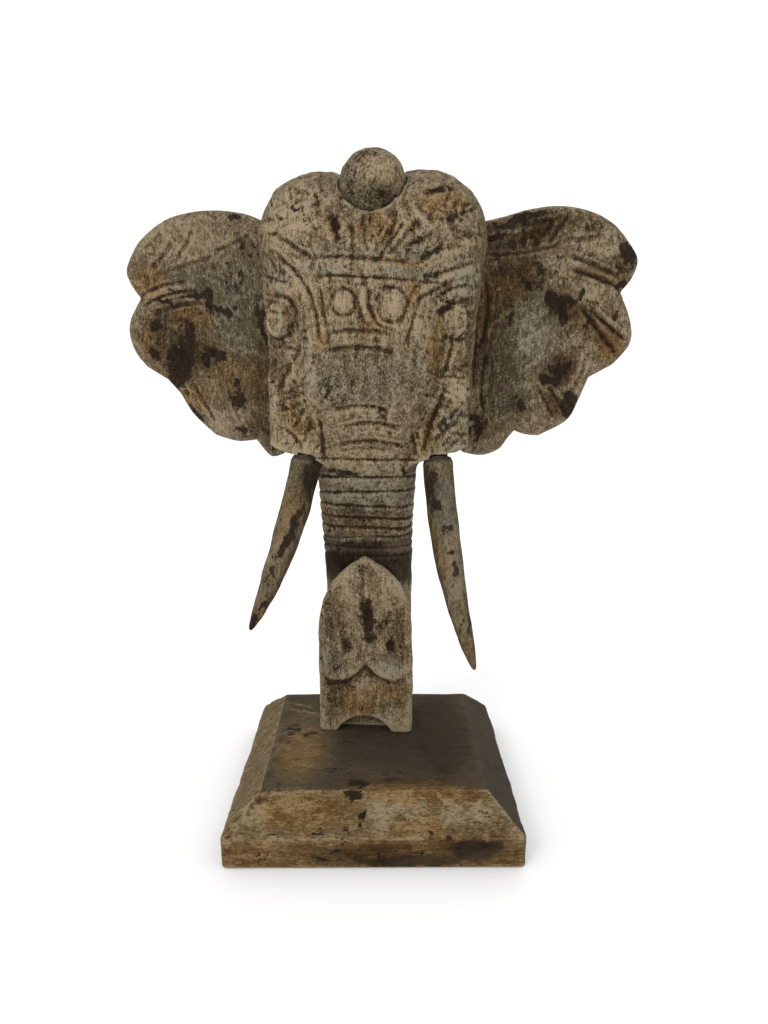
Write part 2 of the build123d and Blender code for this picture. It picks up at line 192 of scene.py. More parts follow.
# Each carved line: half width, depth (negative for a ridge), step down on its left, and a bent
# path of three points.
FACE_LINES = [
    # Edges of the two bands across the brow, and the ridges between them.
    (1.5, 1.3, 0.9, (-28, 331.5), (-4, 331), (29, 327.5)),
    (1.3, 1.3, 0.0, (-29, 321.5), (-4, 321.5), (30, 318.5)),
    (3.6, -1.2, 0.0, (-27, 326.5), (0, 326.5), (28, 323)),
    # Chisel cuts running down to the bands from beside the knob.
    (1.4, 1.2, 0.8, (18, 352), (11, 342), (4, 333)),
    (1.2, 1.0, 0.0, (22, 350), (15, 340), (8, 331)),
    (1.5, 1.2, 0.9, (30, 352), (21, 342), (13, 332)),
    (2.6, 1.5, 0.0, (23, 338.5), (31, 338), (38, 345.5)),
    (1.2, 1.0, 0.0, (2, 349), (-2, 342), (3, 334)),
    (1.2, 0.9, 0.0, (-8, 349), (-3, 342), (-9, 334)),
    # Straps from the panel's upper corners out to the ears, each a ridge between two cuts.
    (1.5, 1.2, 0.5, (29, 328), (38, 338), (60, 337)),
    (3.2, -1.3, 0.0, (31, 324), (42, 334), (63, 341)),
    (1.5, 1.3, 0.6, (30, 319), (43, 324), (64, 331)),
    (3.2, -1.2, 0.0, (30, 312), (41, 320), (63, 326)),
    (1.6, 1.4, 0.7, (28, 306), (39, 318), (60, 322.5)),
    (1.5, 1.2, 0.5, (-56, 347), (-41, 340), (-28, 330.5)),
    (3.4, -1.3, 0.0, (-55, 341), (-41, 334), (-29, 323)),
    (1.5, 1.2, 0.0, (-50, 334), (-36, 326), (-28, 308)),
    (3.4, -1.2, 0.0, (-45, 330), (-34, 318), (-26, 290)),
    (1.2, 0.9, 0.0, (-60, 338), (-54, 333), (-49, 324)),
    (1.2, 0.8, 0.0, (-61, 331), (-56, 325), (-52, 316)),
    # Lids and brows of the eyes, and the folds from the eyes down to the jaw.
    (1.6, 1.3, 0.5, (-54, 312), (-42, 315), (-38, 300)),
    (2.4, -1.0, 0.0, (-57, 316), (-41, 322), (-33, 300)),
    (1.4, 0.8, 0.0, (-57, 292), (-49, 286), (-41, 293)),
    (1.6, 1.3, 0.5, (40, 299), (45, 310), (59, 309)),
    (2.6, -1.2, 0.0, (40, 305), (47, 315), (60, 314)),
    (1.4, 0.9, 0.0, (41, 311), (49, 318.5), (61, 317)),
    (1.3, 0.8, 0.0, (43, 291), (50, 285), (58, 290)),
    (2.2, 1.3, 0.0, (-36, 286), (-44, 273), (-54, 258)),
    (4.0, -1.3, 0.0, (-44, 288), (-40, 262), (-34, 238)),
    (1.6, 1.5, 0.0, (49, 293), (49, 281), (44, 269)),
    (2.4, 2.0, 0.0, (45, 261), (37, 242), (31.5, 221)),
    (1.5, 1.4, 0.0, (-28, 245), (-26.5, 232), (-26, 218)),
    (1.6, 1.0, 0.0, (-53, 239), (-45, 236), (-39, 227)),
    (1.4, 0.8, 0.0, (-52, 250), (-45, 249), (-40, 242)),
    # Panel: frame lines, the divider, the curl at the right ring and the lines at its foot.
    (1.1, 1.0, 0.0, (-24, 318), (-22.5, 308), (-20, 294)),
    (1.3, 1.1, 0.0, (-32, 318), (-26, 308), (-23, 283)),
    (1.1, 1.0, 0.0, (27, 315), (25, 307), (20, 297)),
    (1.2, 1.1, 0.0, (31, 312), (29, 302), (22, 284)),
    (1.5, -1.3, 0.0, (1, 317), (-2.5, 307), (4, 296)),
    (1.1, 1.0, 0.0, (4.5, 316), (0.5, 306), (8, 297)),
    (1.1, 1.1, 0.0, (5, 303), (5.5, 293), (17, 293.5)),
    (1.4, 1.2, 0.6, (18, 291), (-2, 294), (-20, 292)),
    (1.6, 1.7, 0.9, (20, 280.5), (-2, 287), (-23.5, 281.5)),
    (3.2, -1.0, 0.0, (-20, 288), (-1, 290.5), (18, 286.5)),
    # Long soft ridges down both sides of the trunk's root.
    (6.0, -2.0, 0.0, (-29, 300), (-31, 270), (-31, 240)),
    (6.0, -1.7, 0.0, (31, 300), (37, 272), (35, 246)),
    # Arcs at the top of the trunk.
    (1.5, 1.5, 0.8, (16, 247.5), (-1, 254.5), (-19, 248.5)),
    (1.5, 1.5, 0.9, (21, 237.5), (3, 245.5), (-15, 238)),
    (1.5, 1.7, 0.9, (25.5, 225.5), (3, 235.5), (-22, 226.5)),
    # Chisel marks on the cheeks and the domes.
    (1.6, 1.1, 0.7, (37, 228), (48, 239), (61, 247)),
    (1.5, 1.0, 0.6, (36, 233), (47, 244), (60, 255)),
    (1.5, 0.9, 0.0, (44, 222), (51, 231), (60, 236)),
    (1.6, 1.1, 0.6, (-43, 357), (-39, 361), (-32, 363)),
    (1.5, 1.0, 0.5, (-49, 351), (-41, 356), (-34, 358)),
    (1.4, 0.8, 0.0, (-54, 344), (-47, 349), (-38, 350)),
    (1.8, 1.2, 0.6, (-27, 363), (-25, 356), (-22, 348)),
    (3.2, 2.8, 0.0, (-19, 355), (-17, 348), (-12.5, 339)),
    (1.3, 0.8, 0.0, (-34, 346), (-28, 342), (-20, 341)),
    (2.2, 1.7, 0.0, (31, 364.5), (40, 367.5), (51, 370)),
    (1.5, 1.1, 0.7, (40, 352), (48, 347), (59, 342)),
    (1.4, 0.9, 0.5, (36, 357), (45, 354), (57, 350)),
    (1.5, 0.9, 0.0, (54, 363), (56, 358), (53, 353)),
    (1.6, 0.9, 0.5, (27, 358), (33, 354), (38, 347)),
]
# Short chisel strokes that are scattered over the head besides the lines above: how many, the area that
# they are drawn for, and where on it there are none, as middle x, half width, bottom and top.
STROKE_COUNT = 190
STROKE_X = (-62, 64)
STROKE_Z = (218, 380)
STROKE_FREE = [(1, 27, 281, 321), (1, 26, 0, 284)]
# Carved rings of the brow panel: middle, radius, and the degrees cut on either side of a bearing.
BROW_RINGS = [((-10.5, 307.5), 6.6, 180, 180), ((15.5, 306), 8.6, 150, 15)]
# Grooves round the trunk: height at its middle, rise towards the right.
TRUNK_RINGS = [
    (219, -0.4), (207.5, 0.4), (197.5, 0.8), (188, -0.8), (180.5, -1.2), (173.5, -0.5), (167, 0.8),
    (160, -0.4), (153.5, 0.5),
]
EAR_LINES = {
    "left": [
        (1.5, 1.4, 0.7, (96, 316), (80, 325), (60, 326)),
        (3.0, -0.8, 0.0, (94, 313), (78, 322), (61, 323)),
        (1.3, 1.2, 0.0, (94, 310), (77, 319), (62, 320)),
        (2.0, 1.3, 0.8, (86, 333), (76, 342), (69, 351)),
        (1.8, 1.2, 0.6, (70, 336), (61, 347), (54, 357)),
        (1.6, 1.0, 0.5, (84, 329), (60, 337), (38, 341)),
        (1.7, 1.3, 1.1, (88, 306), (66, 314), (50, 313)),
        (1.8, 1.4, 0.6, (13, 315), (16, 299), (3, 284)),
        (2.4, -0.9, 0.0, (9, 316), (11, 300), (1, 286)),
        (1.4, 1.1, 0.0, (5, 314), (7, 301), (0, 290)),
        (1.5, 0.9, 0.0, (60, 262), (52, 250), (44, 236)),
        (1.6, 1.1, 0.6, (78, 276), (70, 268), (62, 252)),
        (1.5, 0.9, 0.0, (16, 353), (26, 346), (44, 343)),
        (1.3, 0.8, 0.0, (36, 262), (34, 250), (27, 238)),
        (1.6, 1.0, 0.5, (90, 345), (84, 350), (74, 357)),
    ],
    "right": [
        (1.9, 1.5, 0.7, (70, 312), (84, 294), (98, 277)),
        (2.6, -0.8, 0.0, (75, 308), (87, 296), (101, 282)),
        (1.9, 1.4, 0.0, (79, 307), (89, 298), (103, 288)),
        (1.7, 1.3, 0.7, (62, 339), (79, 334), (97, 326)),
        (2.4, -0.7, 0.0, (64, 335), (79, 331), (97, 323)),
        (1.6, 1.2, 0.0, (64, 331), (80, 327), (96, 320)),
        (1.7, 1.3, 0.0, (47, 260), (52, 251), (57, 241)),
        (1.7, 1.3, 0.0, (53, 262), (59, 252), (66, 243)),
        (1.9, 1.4, 0.9, (77, 284), (76, 271), (69, 258)),
        (1.6, 1.2, 0.6, (42, 344), (48, 353), (53, 361)),
        (1.6, 1.2, 0.0, (49, 345), (55, 353), (61, 363)),
        (1.6, 1.3, 1.0, (4, 351), (34, 355), (62, 362)),
        (1.4, 0.9, 0.0, (8, 339), (30, 338), (60, 346)),
        (1.9, 1.6, 0.0, (11, 327), (17, 304), (8, 283)),
        (2.6, -0.9, 0.0, (7, 326), (12, 304), (3, 284)),
        (1.7, 1.3, 0.0, (14, 283), (8, 262), (12, 244)),
        (1.5, 1.0, 0.0, (5, 300), (7, 280), (4, 256)),
        (1.8, 1.0, 0.6, (84, 352), (72, 348), (58, 350)),
    ],
}

# ---------------------------------------------------------------- stains and painted light

# Each stain: middle across and up, half width, half height and, where it has one, its turn in degrees.
# dark is old finish that still holds, specked is its last flecks, old is a thin dark stain, pale and deep
# shift the tone, and the rest tint it. Some pale, deep and old entries and marks are painted highlight
# and painted shade, as said where they stand.
STAIN_KINDS = ("dark", "specked", "old", "ochre", "grey", "brown", "pale", "deep")
FACE_STAINS_AND_PAINTED_LIGHT = {
    "dark": [(-15, 350, 1.6, 6, 15), (40, 367.5, 9, 1.6, 16)],
    "specked": [
        (-31, 351, 3.5, 2.5, -30), (-36, 341, 6, 2.5, -25), (-26, 356, 2.5, 7, 20), (31, 340, 8, 3.5, 25),
        (50, 356, 2.5, 6, 20), (6, 286.5, 7, 1.5), (12, 316, 6, 1.5, 8), (52, 244, 8, 2.4, 38),
        (49, 231, 8, 1.6, 32), (41, 252, 2.5, 10, -22), (45, 270, 1.6, 6, -15), (-48, 287, 2.5, 4),
        (2, 226, 8, 1.6), (22, 227, 2, 3), (-50, 262, 2, 6, -40), (-15, 252, 7, 3, 20),
        (43, 304, 5, 1.8, 40), (47, 352, 2.5, 4),
    ],
    "ochre": [
        (42, 360, 13, 8), (15, 328, 14, 1.8, -3), (4, 296, 7, 5), (-23, 290, 2.0, 7), (39, 283, 5, 15),
        (-42, 243, 5, 11, 20), (4, 347, 14, 6), (34, 234, 3.5, 14, -20), (-41, 306, 2.5, 8, -30),
        (26, 312, 4, 8), (-18, 347, 3, 7, 15),
    ],
    "grey": [
        (2, 267, 27, 16), (22, 323, 14, 3), (-16, 335, 14, 4), (24, 334, 13, 4), (-52, 322, 8, 8),
        (52, 226, 8, 6), (-22, 325, 10, 3), (56, 320, 7, 12), (52, 243, 9, 5, 38),
    ],
    # The thin pale bands at heights 248, 237 and 222.5 are painted highlights on the lips below the arcs at
    # the top of the trunk.
    "pale": [
        (-40, 350, 18, 12), (-34, 272, 6, 22, 8), (50, 325, 14, 10), (0, 248, 17, 2.4), (2, 237, 18, 2.2),
        (-44, 228, 12, 5), (52, 259, 8, 7), (15, 306, 6, 6), (-11, 308, 5, 5), (1, 222.5, 20, 1.8),
        (36, 300, 6, 14), (-38, 318, 8, 10),
    ],
    "deep": [(-55, 275, 6, 20), (60, 285, 5, 30)],
}
TRUNK_STAINS_AND_PAINTED_LIGHT = {
    "old": [(-3, 150, 60, 20)],
    "deep": [(-3, 180, 40, 9)],
    "grey": [(-3, 196, 30, 14)],
    # The first four pale bands, each just below a groove, are painted highlights on the proud lips; the
    # last two are pale patches.
    "pale": [
        (0, 214, 28, 3), (-4, 203, 22, 1.8), (-6, 192, 24, 1.6), (-4, 166, 18, 2.0), (18, 160, 9, 4),
        (-24, 158, 6, 3),
    ],
    "dark": [(-16, 210, 10, 1.8), (22, 213, 1.5, 4), (-22, 150, 12, 8)],
    "specked": [
        (-14, 199, 12, 2.4), (-6, 179, 18, 2.4), (-3, 163, 34, 4), (16, 152, 14, 5), (-22, 171, 11, 3),
        (14, 171, 10, 2.4),
    ],
}
TIP_STAINS = {
    "dark": [
        (-1.0, 119, 4.8, 11.5, 3), (0.2, 106, 4.6, 7, 8), (7.4, 112.5, 2.6, 7.5, -42), (12.5, 98, 1.4, 4),
        (-27, 69.5, 5, 1.8, -20), (5, 43, 3, 1.4, -20), (13.7, 97.5, 2.6, 5.5),
    ],
    "brown": [(-3.4, 118, 2.4, 9), (-15.5, 97, 2.4, 4), (-6.5, 92.5, 1.6, 3)],
    "specked": [
        (-6, 150, 4, 5), (-4.5, 138, 1.4, 12), (-23, 84, 2.4, 8, 8), (-31, 122, 2, 14, -8), (1, 90, 1.6, 5),
        (-32.5, 96, 1.6, 22), (16, 58, 8, 2), (-24, 58.5, 7, 0.8), (22, 76, 6, 1.4, 15),
        (-27, 128, 3, 12, -10),
    ],
    "grey": [(-31, 97, 3, 20), (14, 86, 9, 8), (-24, 86, 8, 8)],
    "pale": [(-14, 124, 6, 16), (12, 130, 5, 14), (16, 44, 8, 9), (12, 82, 10, 6), (-2, 66, 5, 5)],
    "deep": [(-20, 112, 10, 18), (20, 106, 9, 18), (-26, 62, 8, 12)],
    "ochre": [(-8, 56, 11, 11), (14, 66, 12, 6)],
}
EAR_STAINS = {
    "left": {
        "dark": [
            (67, 278, 8, 14, 15), (61, 296, 3.5, 8, -12), (76, 313, 9, 1.6, 14), (56, 316, 9, 1.4),
            (47, 311, 3.5, 7), (37, 307, 7, 1.8, 32), (83, 299, 2.6, 3.6, 30), (43, 281, 7, 2.2, 22),
            (51, 276, 3, 4), (29, 251, 3.6, 3, -25), (26, 233, 4, 1.6), (29, 262, 2, 2),
            (27, 363, 5, 2.4, -10), (60, 242, 3, 9, -38), (29, 307, 2, 1.6), (4, 232, 5, 12),
            (73, 262, 4, 5, 30), (86, 281, 3, 4), (24, 330, 1.6, 3, 20), (9, 303, 1.6, 10),
        ],
        "grey": [(24, 308, 20, 34), (44, 325, 22, 8), (62, 331, 14, 5)],
        "ochre": [
            (26, 268, 18, 10), (60, 252, 9, 9), (88, 326, 10, 10), (86, 290, 8, 12), (60, 303, 14, 6),
        ],
        "pale": [(60, 350, 30, 11), (76, 320, 18, 2.2, -10), (36, 238, 12, 9)],
        "deep": [(70, 285, 20, 20), (10, 270, 8, 40)],
        "specked": [
            (81, 300, 7, 11, 20), (45, 279, 15, 7, 10), (30, 252, 11, 11), (24, 232, 12, 5),
            (70, 268, 12, 10), (62, 320, 20, 3, 8), (20, 345, 12, 6, 30),
        ],
    },
    "right": {
        "dark": [
            (58, 312, 4, 2.4), (61, 304, 2.2, 5), (67, 313, 3, 2), (72, 317, 2, 3), (52, 315, 2.5, 4),
            (40, 322, 2, 3, 10), (61, 272, 3.0, 6, -20), (53, 264, 6, 2.6, -35), (67, 248, 4, 7, -20),
            (33, 360, 24, 2.6, 12), (101, 341, 4, 8, 35), (14, 349, 6, 2.6, 10), (7, 236, 5, 12),
            (36, 250, 1.5, 3), (28, 302, 2, 3), (98, 322, 4, 2), (4, 310, 2, 10), (93, 306, 2, 4),
        ],
        "brown": [
            (60, 309, 10, 8), (38, 327, 9, 11, 10), (62, 271, 8, 11, -20), (84, 294, 20, 6, -45),
            (78, 329, 16, 3.5, -10), (57, 250, 10, 5, -50), (6, 292, 7, 30), (44, 352, 20, 6, 20),
            (70, 303, 6, 5, -40),
        ],
        "specked": [
            (38, 328, 8, 9, 10), (40, 350, 16, 6, 20), (20, 346, 10, 5), (60, 309, 15, 11),
            (42, 329, 12, 12), (60, 268, 12, 12, -20), (30, 346, 24, 8, 12), (67, 250, 8, 10, -20),
            (96, 330, 8, 16, 10), (34, 252, 8, 9),
        ],
        "grey": [(42, 298, 18, 26), (26, 262, 14, 24), (36, 357, 20, 5, 12)],
        "pale": [
            (74, 350, 20, 7, -15), (78, 317, 10, 6), (74, 268, 3.5, 12, -20), (60, 333, 12, 4),
            (40, 292, 12, 14),
        ],
        "ochre": [(24, 320, 14, 10), (92, 286, 8, 10)],
        "deep": [(20, 300, 14, 60), (60, 356, 30, 8)],
    },
}
# On the knob, pale is a painted highlight on the ball's top, and deep is the dark patch in the dent
# together with painted shade below the ball.
KNOB_STAINS_AND_PAINTED_LIGHT = {
    "grey": [(4, 362, 13, 7), (-9, 368, 5, 10)],
    "specked": [
        (9, 363, 6, 3.6), (-3, 384, 4, 4, 40), (17, 378, 2, 4, 20), (-6, 374, 1.6, 4), (-10, 377, 5, 6, 20),
        (-8, 366, 5, 5), (1, 385, 7, 3),
    ],
    "pale": [(10, 379, 8, 7)],
    "deep": [(6, 362, 12, 6)],
}
# The long pale strip down each tusk is a painted highlight. At each tusk's top, deep, and on the left tusk
# old, are painted shade under the cheek and beside the trunk.
TUSK_STAINS_AND_PAINTED_LIGHT = {
    "left": {
        "dark": [(-42.5, 180, 2.4, 13, -20), (-61, 131, 1.8, 5, -30), (-57, 141, 1.2, 4, -30)],
        "specked": [(-34, 208, 5, 9, -10), (-53, 158, 2.4, 18, -20)],
        "ochre": [(-60, 133, 6, 7), (-44, 190, 6, 16, -15)],
        "old": [(-34, 208, 4, 12, -10)],
        "deep": [(-36, 205, 6, 12)],
        "pale": [(-50, 172, 3, 24, -20)],
    },
    "right": {
        "dark": [
            (36.5, 206, 4.2, 13), (41, 194, 4, 4), (52, 158, 1.8, 5), (50, 167, 3, 2),
            (60, 126, 1.4, 6, -10),
        ],
        "specked": [(55, 128, 1.4, 12, -12), (47, 180, 5, 6)],
        "grey": [(46, 192, 8, 18)],
        "pale": [(50, 176, 5, 34, 10)],
        "ochre": [(43, 170, 4, 20, 10), (62, 110, 5, 8)],
        "deep": [(40, 205, 8, 14)],
    },
}
# On the plinth's front bevel and its edge band: across and up. On its top: across and away from the viewer.
PLINTH_FRONT_STAINS = {
    "dark": [
        (-13.5, 34, 4.5, 3.4, 10), (-6.5, 26.5, 1.4, 3.2, -30), (-8, 22.5, 1.2, 1.2), (-20, 12, 3, 1.6, 10),
    ],
    "specked": [(-28, 8, 8, 4), (2, 8, 2, 5), (-14, 19, 8, 1.2), (-48, 18, 34, 0.8), (54, 15, 15, 5)],
    "brown": [(52, 14, 22, 6), (0, 8, 20, 8)],
    "old": [(56, 11, 16, 7), (20, 4, 30, 3)],
    "ochre": [(26, 34.5, 36, 3.6), (-38, 27, 26, 7), (-70, 8, 14, 9), (26, 22, 14, 4)],
    "grey": [(-14, 5, 10, 4)],
    "pale": [
        (3, 27, 8, 7), (14, 29, 7, 6), (24, 24, 9, 5), (44, 28, 7, 9, -10), (18, 33, 6, 4), (60, 28, 6, 5),
        (-66, 26, 9, 6), (-46, 30, 8, 4), (-60, 11, 16, 5),
    ],
    "deep": [(50, 34, 20, 2.5)],
}
PLINTH_TOP_STAINS = {
    "pale": [(-46, -16, 18, 44), (-46, 34, 18, 2.2, -24), (-38, 27, 16, 1.6, -20), (-50, 44, 14, 1.4, -30)],
    "ochre": [(22, -62, 38, 8), (-46, -20, 16, 30)],
    "specked": [(-52, 8, 8, 16), (-44, 0, 12, 3, 15)],
    "dark": [(-9, -59, 5, 5)],
    "brown": [(42, 10, 22, 50)],
    "deep": [(30, -30, 24, 30)],
    "grey": [(0, -10, 26, 26)],
}


# ---------------------------------------------------------------- solid fields, negative inside


def eased(z, rows, column):
    """One column of a list of level cuts at every height, with its corners smoothed."""
    heights = [row[0] for row in rows]
    values = [row[column] for row in rows]
    spread = (-8.0, -4.0, 0.0, 4.0, 8.0)
    return sum(np.interp(z + s, heights, values) for s in spread) / len(spread)


def stack(x, y, z, rows):
    """A solid whose level cuts are rounded rectangles."""
    middle, width, front, rear, corner = (eased(z, rows, i) for i in range(1, 6))
    dx = np.abs(x - middle) - width / 2 + corner
    dy = np.abs(y - (front + rear) / 2) - (rear - front) / 2 + corner
    side = np.hypot(np.maximum(dx, 0), np.maximum(dy, 0)) + np.minimum(np.maximum(dx, dy), 0) - corner
    return np.maximum(side, np.maximum(rows[0][0] - z, z - rows[-1][0]))


def ellipsoid(x, y, z, centre, radii):
    """Close to the distance from an ellipsoid."""
    px, py, pz = x - centre[0], y - centre[1], z - centre[2]
    a, b, c = radii
    near = np.sqrt((px / a) ** 2 + (py / b) ** 2 + (pz / c) ** 2)
    slope = np.sqrt((px / a**2) ** 2 + (py / b**2) ** 2 + (pz / c**2) ** 2) + 1e-6
    return near * (near - 1) / slope


def block(x, y, z, low, high, corner):
    """A box with rounded edges."""
    d = [np.abs(v - (a + b) / 2) - (b - a) / 2 + corner for v, a, b in zip((x, y, z), low, high)]
    outside = np.sqrt(sum(np.maximum(v, 0) ** 2 for v in d))
    return outside + np.minimum(np.maximum(np.maximum(d[0], d[1]), d[2]), 0) - corner


def rod(x, y, z, start, end, radius):
    """A cylinder from start to end."""
    start, end = np.array(start, float), np.array(end, float)
    length = np.linalg.norm(end - start)
    axis = (end - start) / length
    px, py, pz = x - start[0], y - start[1], z - start[2]
    along = px * axis[0] + py * axis[1] + pz * axis[2]
    across = np.sqrt(np.maximum(px**2 + py**2 + pz**2 - along**2, 0))
    return np.maximum(across - radius, np.maximum(-along, along - length))


def rising(value, start, over):
    """0 up to the start, then rising evenly to 1 over a distance."""
    return np.clip((value - start) / over, 0, 1)


def falling(value, end, over):
    """1 at first, then falling evenly over a distance to 0 at the end."""
    return np.clip((end - value) / over, 0, 1)


def bell(value, width):
    """1 where the value is 0, and falling off smoothly on both sides."""
    return np.exp(-((value / width) ** 2))


def union(a, b, blend):
    """Two solids joined with a soft fillet of about the blend size."""
    h = np.clip(0.5 + 0.5 * (b - a) / blend, 0, 1)
    return b * (1 - h) + a * h - blend * h * (1 - h)


def common(a, b, blend):
    """What two solids share, with its new edges softened by about the blend size."""
    return -union(-a, -b, blend)


def cut(a, b, blend):
    """Solid a with b taken out of it, the new edges softened by about the blend size."""
    return common(a, -b, blend)


def outline_points(lobes, per_span=6):
    """A closed outline of lobes, each a smooth curve through its points, with sharp notches between."""
    outline = []
    for lobe in lobes:
        knots = np.array([lobe[0], *lobe, lobe[-1]], float)
        for a, b, c, d in zip(knots, knots[1:], knots[2:], knots[3:]):
            for i in range(per_span):
                t = i / per_span
                bend = (2 * a - 5 * b + 4 * c - d) * t**2 + (3 * b - a - 3 * c + d) * t**3
                outline.append(b + 0.5 * ((c - a) * t + bend))
    outline.append(np.array(lobes[-1][-1], float))
    return np.array(outline)


def outline_distance(u, v, outline):
    """Signed distance from a closed outline in a plane, negative inside."""
    u, v = np.broadcast_arrays(u, v)
    nearest = np.full(u.shape, 1e9)
    inside = np.zeros(u.shape, bool)
    for (au, av), (bu, bv) in zip(outline, np.roll(outline, -1, axis=0)):
        eu, ev = bu - au, bv - av
        t = np.clip(((u - au) * eu + (v - av) * ev) / (eu**2 + ev**2 + 1e-9), 0, 1)
        nearest = np.minimum(nearest, np.hypot(u - au - t * eu, v - av - t * ev))
        crosses = (av > v) != (bv > v)
        inside ^= crosses & (u < au + (v - av) * eu / (ev if abs(ev) > 1e-9 else 1e-9))
    return np.where(inside, -nearest, nearest)


# ---------------------------------------------------------------- noise, tool marks and carved lines


def hashed(i, j, k, seed):
    """A repeatable value from 0 to 1 for every whole-numbered place."""
    h = (i * 374761393 + j * 668265263 + k * 2147483647 + seed * 1274126177) & 0xFFFFFFFF
    h = ((h ^ (h >> 13)) * 1103515245 + 12345) & 0xFFFFFFFF
    h = ((h ^ (h >> 15)) * 2246822519) & 0xFFFFFFFF
    return (h ^ (h >> 16)).astype(float) / 0xFFFFFFFF


def noise(points, size, seed):
    """Smooth noise from -1 to 1 with features of the given size, a number or one for each axis."""
    p = points / np.array(size, float)
    base = np.floor(p).astype(np.int64)
    f = p - base
    f = f * f * (3 - 2 * f)
    total = 0
    for corner in itertools.product((0, 1), repeat=3):
        weight = np.prod([f[:, a] if corner[a] else 1 - f[:, a] for a in range(3)], axis=0)
        total = total + weight * hashed(*(base[:, a] + corner[a] for a in range(3)), seed)
    return 2 * total - 1


def bumps(points, *layers):
    """Layers of noise laid over one another, each with its depth, size and seed."""
    return sum(depth * noise(points, size, seed) for depth, size, seed in layers)


def gouges(points, size, seed, turn=0.0):
    """Scoops of a carver's gouge: near 1 in the middle of each, down to 0 on the sharp ridges between.

    The scoops' long direction is turned in the x-z plane by an angle in degrees.
    """
    c, s = math.cos(math.radians(turn)), math.sin(math.radians(turn))
    x, y, z = points.T
    p = np.stack([x * c + z * s, y, z * c - x * s], axis=1) / np.array(size, float)
    base = np.floor(p).astype(np.int64)
    nearest = np.full(len(p), 9.0)
    for step in itertools.product((-1, 0, 1), repeat=3):
        cell = [base[:, a] + step[a] for a in range(3)]
        away = [p[:, a] - cell[a] - hashed(*cell, seed + a) for a in range(3)]
        nearest = np.minimum(nearest, away[0] ** 2 + away[1] ** 2 + away[2] ** 2)
    return 1 - np.clip(nearest / 0.7, 0, 1)


def bent_path(a, b, c, count=10):
    """Points along a parabola from a to c, pulled towards b."""
    a, b, c = (np.array(v, float) for v in (a, b, c))
    t = np.linspace(0, 1, count + 1)[:, None]
    return (1 - t) ** 2 * a + 2 * t * (1 - t) * b + t**2 * c


def carve(u, v, lines):
    """How deep a set of carved lines cuts at each point of a plane, and how dark they leave it with grime
    and painted shade.

    A cut has a narrow core, wide shoulders, a burr raised along its edges and a fainter second cut on its
    right. It fades at both ends.
    """
    depth = np.zeros(len(u))
    grime_and_shade = np.zeros(len(u))
    for width, deep, step, *path in lines:
        points = bent_path(*path)
        reach = 4.5 * width + 2
        low, high = points.min(axis=0) - reach, points.max(axis=0) + reach
        near = np.flatnonzero((u > low[0]) & (u < high[0]) & (v > low[1]) & (v < high[1]))
        if len(near) == 0:
            continue
        pu, pv = u[near], v[near]
        best = np.full(len(near), 1e9)
        signed = np.zeros(len(near))
        place = np.zeros(len(near))
        count = len(points) - 1
        for i in range(count):
            (au, av), (bu, bv) = points[i], points[i + 1]
            eu, ev = bu - au, bv - av
            length = math.hypot(eu, ev)
            t = np.clip(((pu - au) * eu + (pv - av) * ev) / length**2, 0, 1)
            distance = np.hypot(pu - au - t * eu, pv - av - t * ev)
            closer = distance < best
            best = np.where(closer, distance, best)
            signed = np.where(closer, ((pv - av) * eu - (pu - au) * ev) / length, signed)
            place = np.where(closer, (i + t) / count, place)
        fade = np.clip(np.minimum(place, 1 - place) / END_FADE, 0.1, 1)
        left = np.clip(signed / width, 0, 1) * np.clip(1 - best / reach, 0, 1)
        if deep < 0:
            depth[near] += fade * deep * bell(best, width)
            continue
        core = bell(best, CORE_WIDTH * width)
        shoulder = bell(best, SHOULDER_WIDTH * width)
        burr = bell(best / width - BURR_PLACE, BURR_WIDTH)
        within = np.exp(-((best / (SHOULDER_WIDTH * width)) ** 8))
        second = SECOND_STRENGTH * bell(signed + SECOND_PLACE * width, SECOND_WIDTH_MM) * within
        profile = CORE_SHARE * core + SHOULDER_SHARE * shoulder + BURR_SHARE * burr + SECOND_SHARE * second
        depth[near] += fade * (deep * profile + step * left)
        # The core and the second cut are darkened with grime that also paints the shade in the cut.
        grime_and_shade[near] = np.maximum(grime_and_shade[near], fade * min(deep / 1.6, 1.0) * np.maximum(core, second))
    return depth, grime_and_shade


def carve_rings(u, v):
    """The two carved rings of the brow panel, each a round groove about a low boss."""
    depth = np.zeros(len(u))
    grime_and_shade = np.zeros(len(u))
    for (cu, cv), radius, spread, bearing in BROW_RINGS:
        away = np.hypot(u - cu, (v - cv) * 0.94)
        angle = np.degrees(np.arctan2(v - cv, u - cu)) - bearing
        off = np.abs((angle + 180) % 360 - 180)
        open_end = np.clip((spread - off) / 12 + 0.5, 0, 1) if spread < 180 else 1.0
        groove = open_end * bell(away - radius, 1.1)
        boss = np.exp(-((away / (0.62 * radius)) ** 4))
        depth += 0.55 * groove - 0.7 * boss
        # The ring's groove is darkened with grime that also paints the shade in it.
        grime_and_shade = np.maximum(grime_and_shade, 0.35 * groove)
    return depth, grime_and_shade


def stain(u, v, stains_and_painted_light, kind):
    """How strongly the marks of one kind in a table, stains and the painted light among them, cover each
    point of a plane.
    """
    total = np.zeros(len(u))
    for cu, cv, ru, rv, *turn in stains_and_painted_light.get(kind, ()):
        angle = math.radians(sum(turn))
        c, s = math.cos(angle), math.sin(angle)
        along, across = (u - cu) * c + (v - cv) * s, (v - cv) * c - (u - cu) * s
        total = np.maximum(total, np.clip(1.5 - np.hypot(along / ru, across / rv), 0, 1))
    return total


def all_stains(u, v, stains_and_painted_light, cover=1.0):
    """Every kind of stain, with the painted light among them, at each point of a plane, where the cover
    lets it show.
    """
    return {kind: cover * stain(u, v, stains_and_painted_light, kind) for kind in STAIN_KINDS}


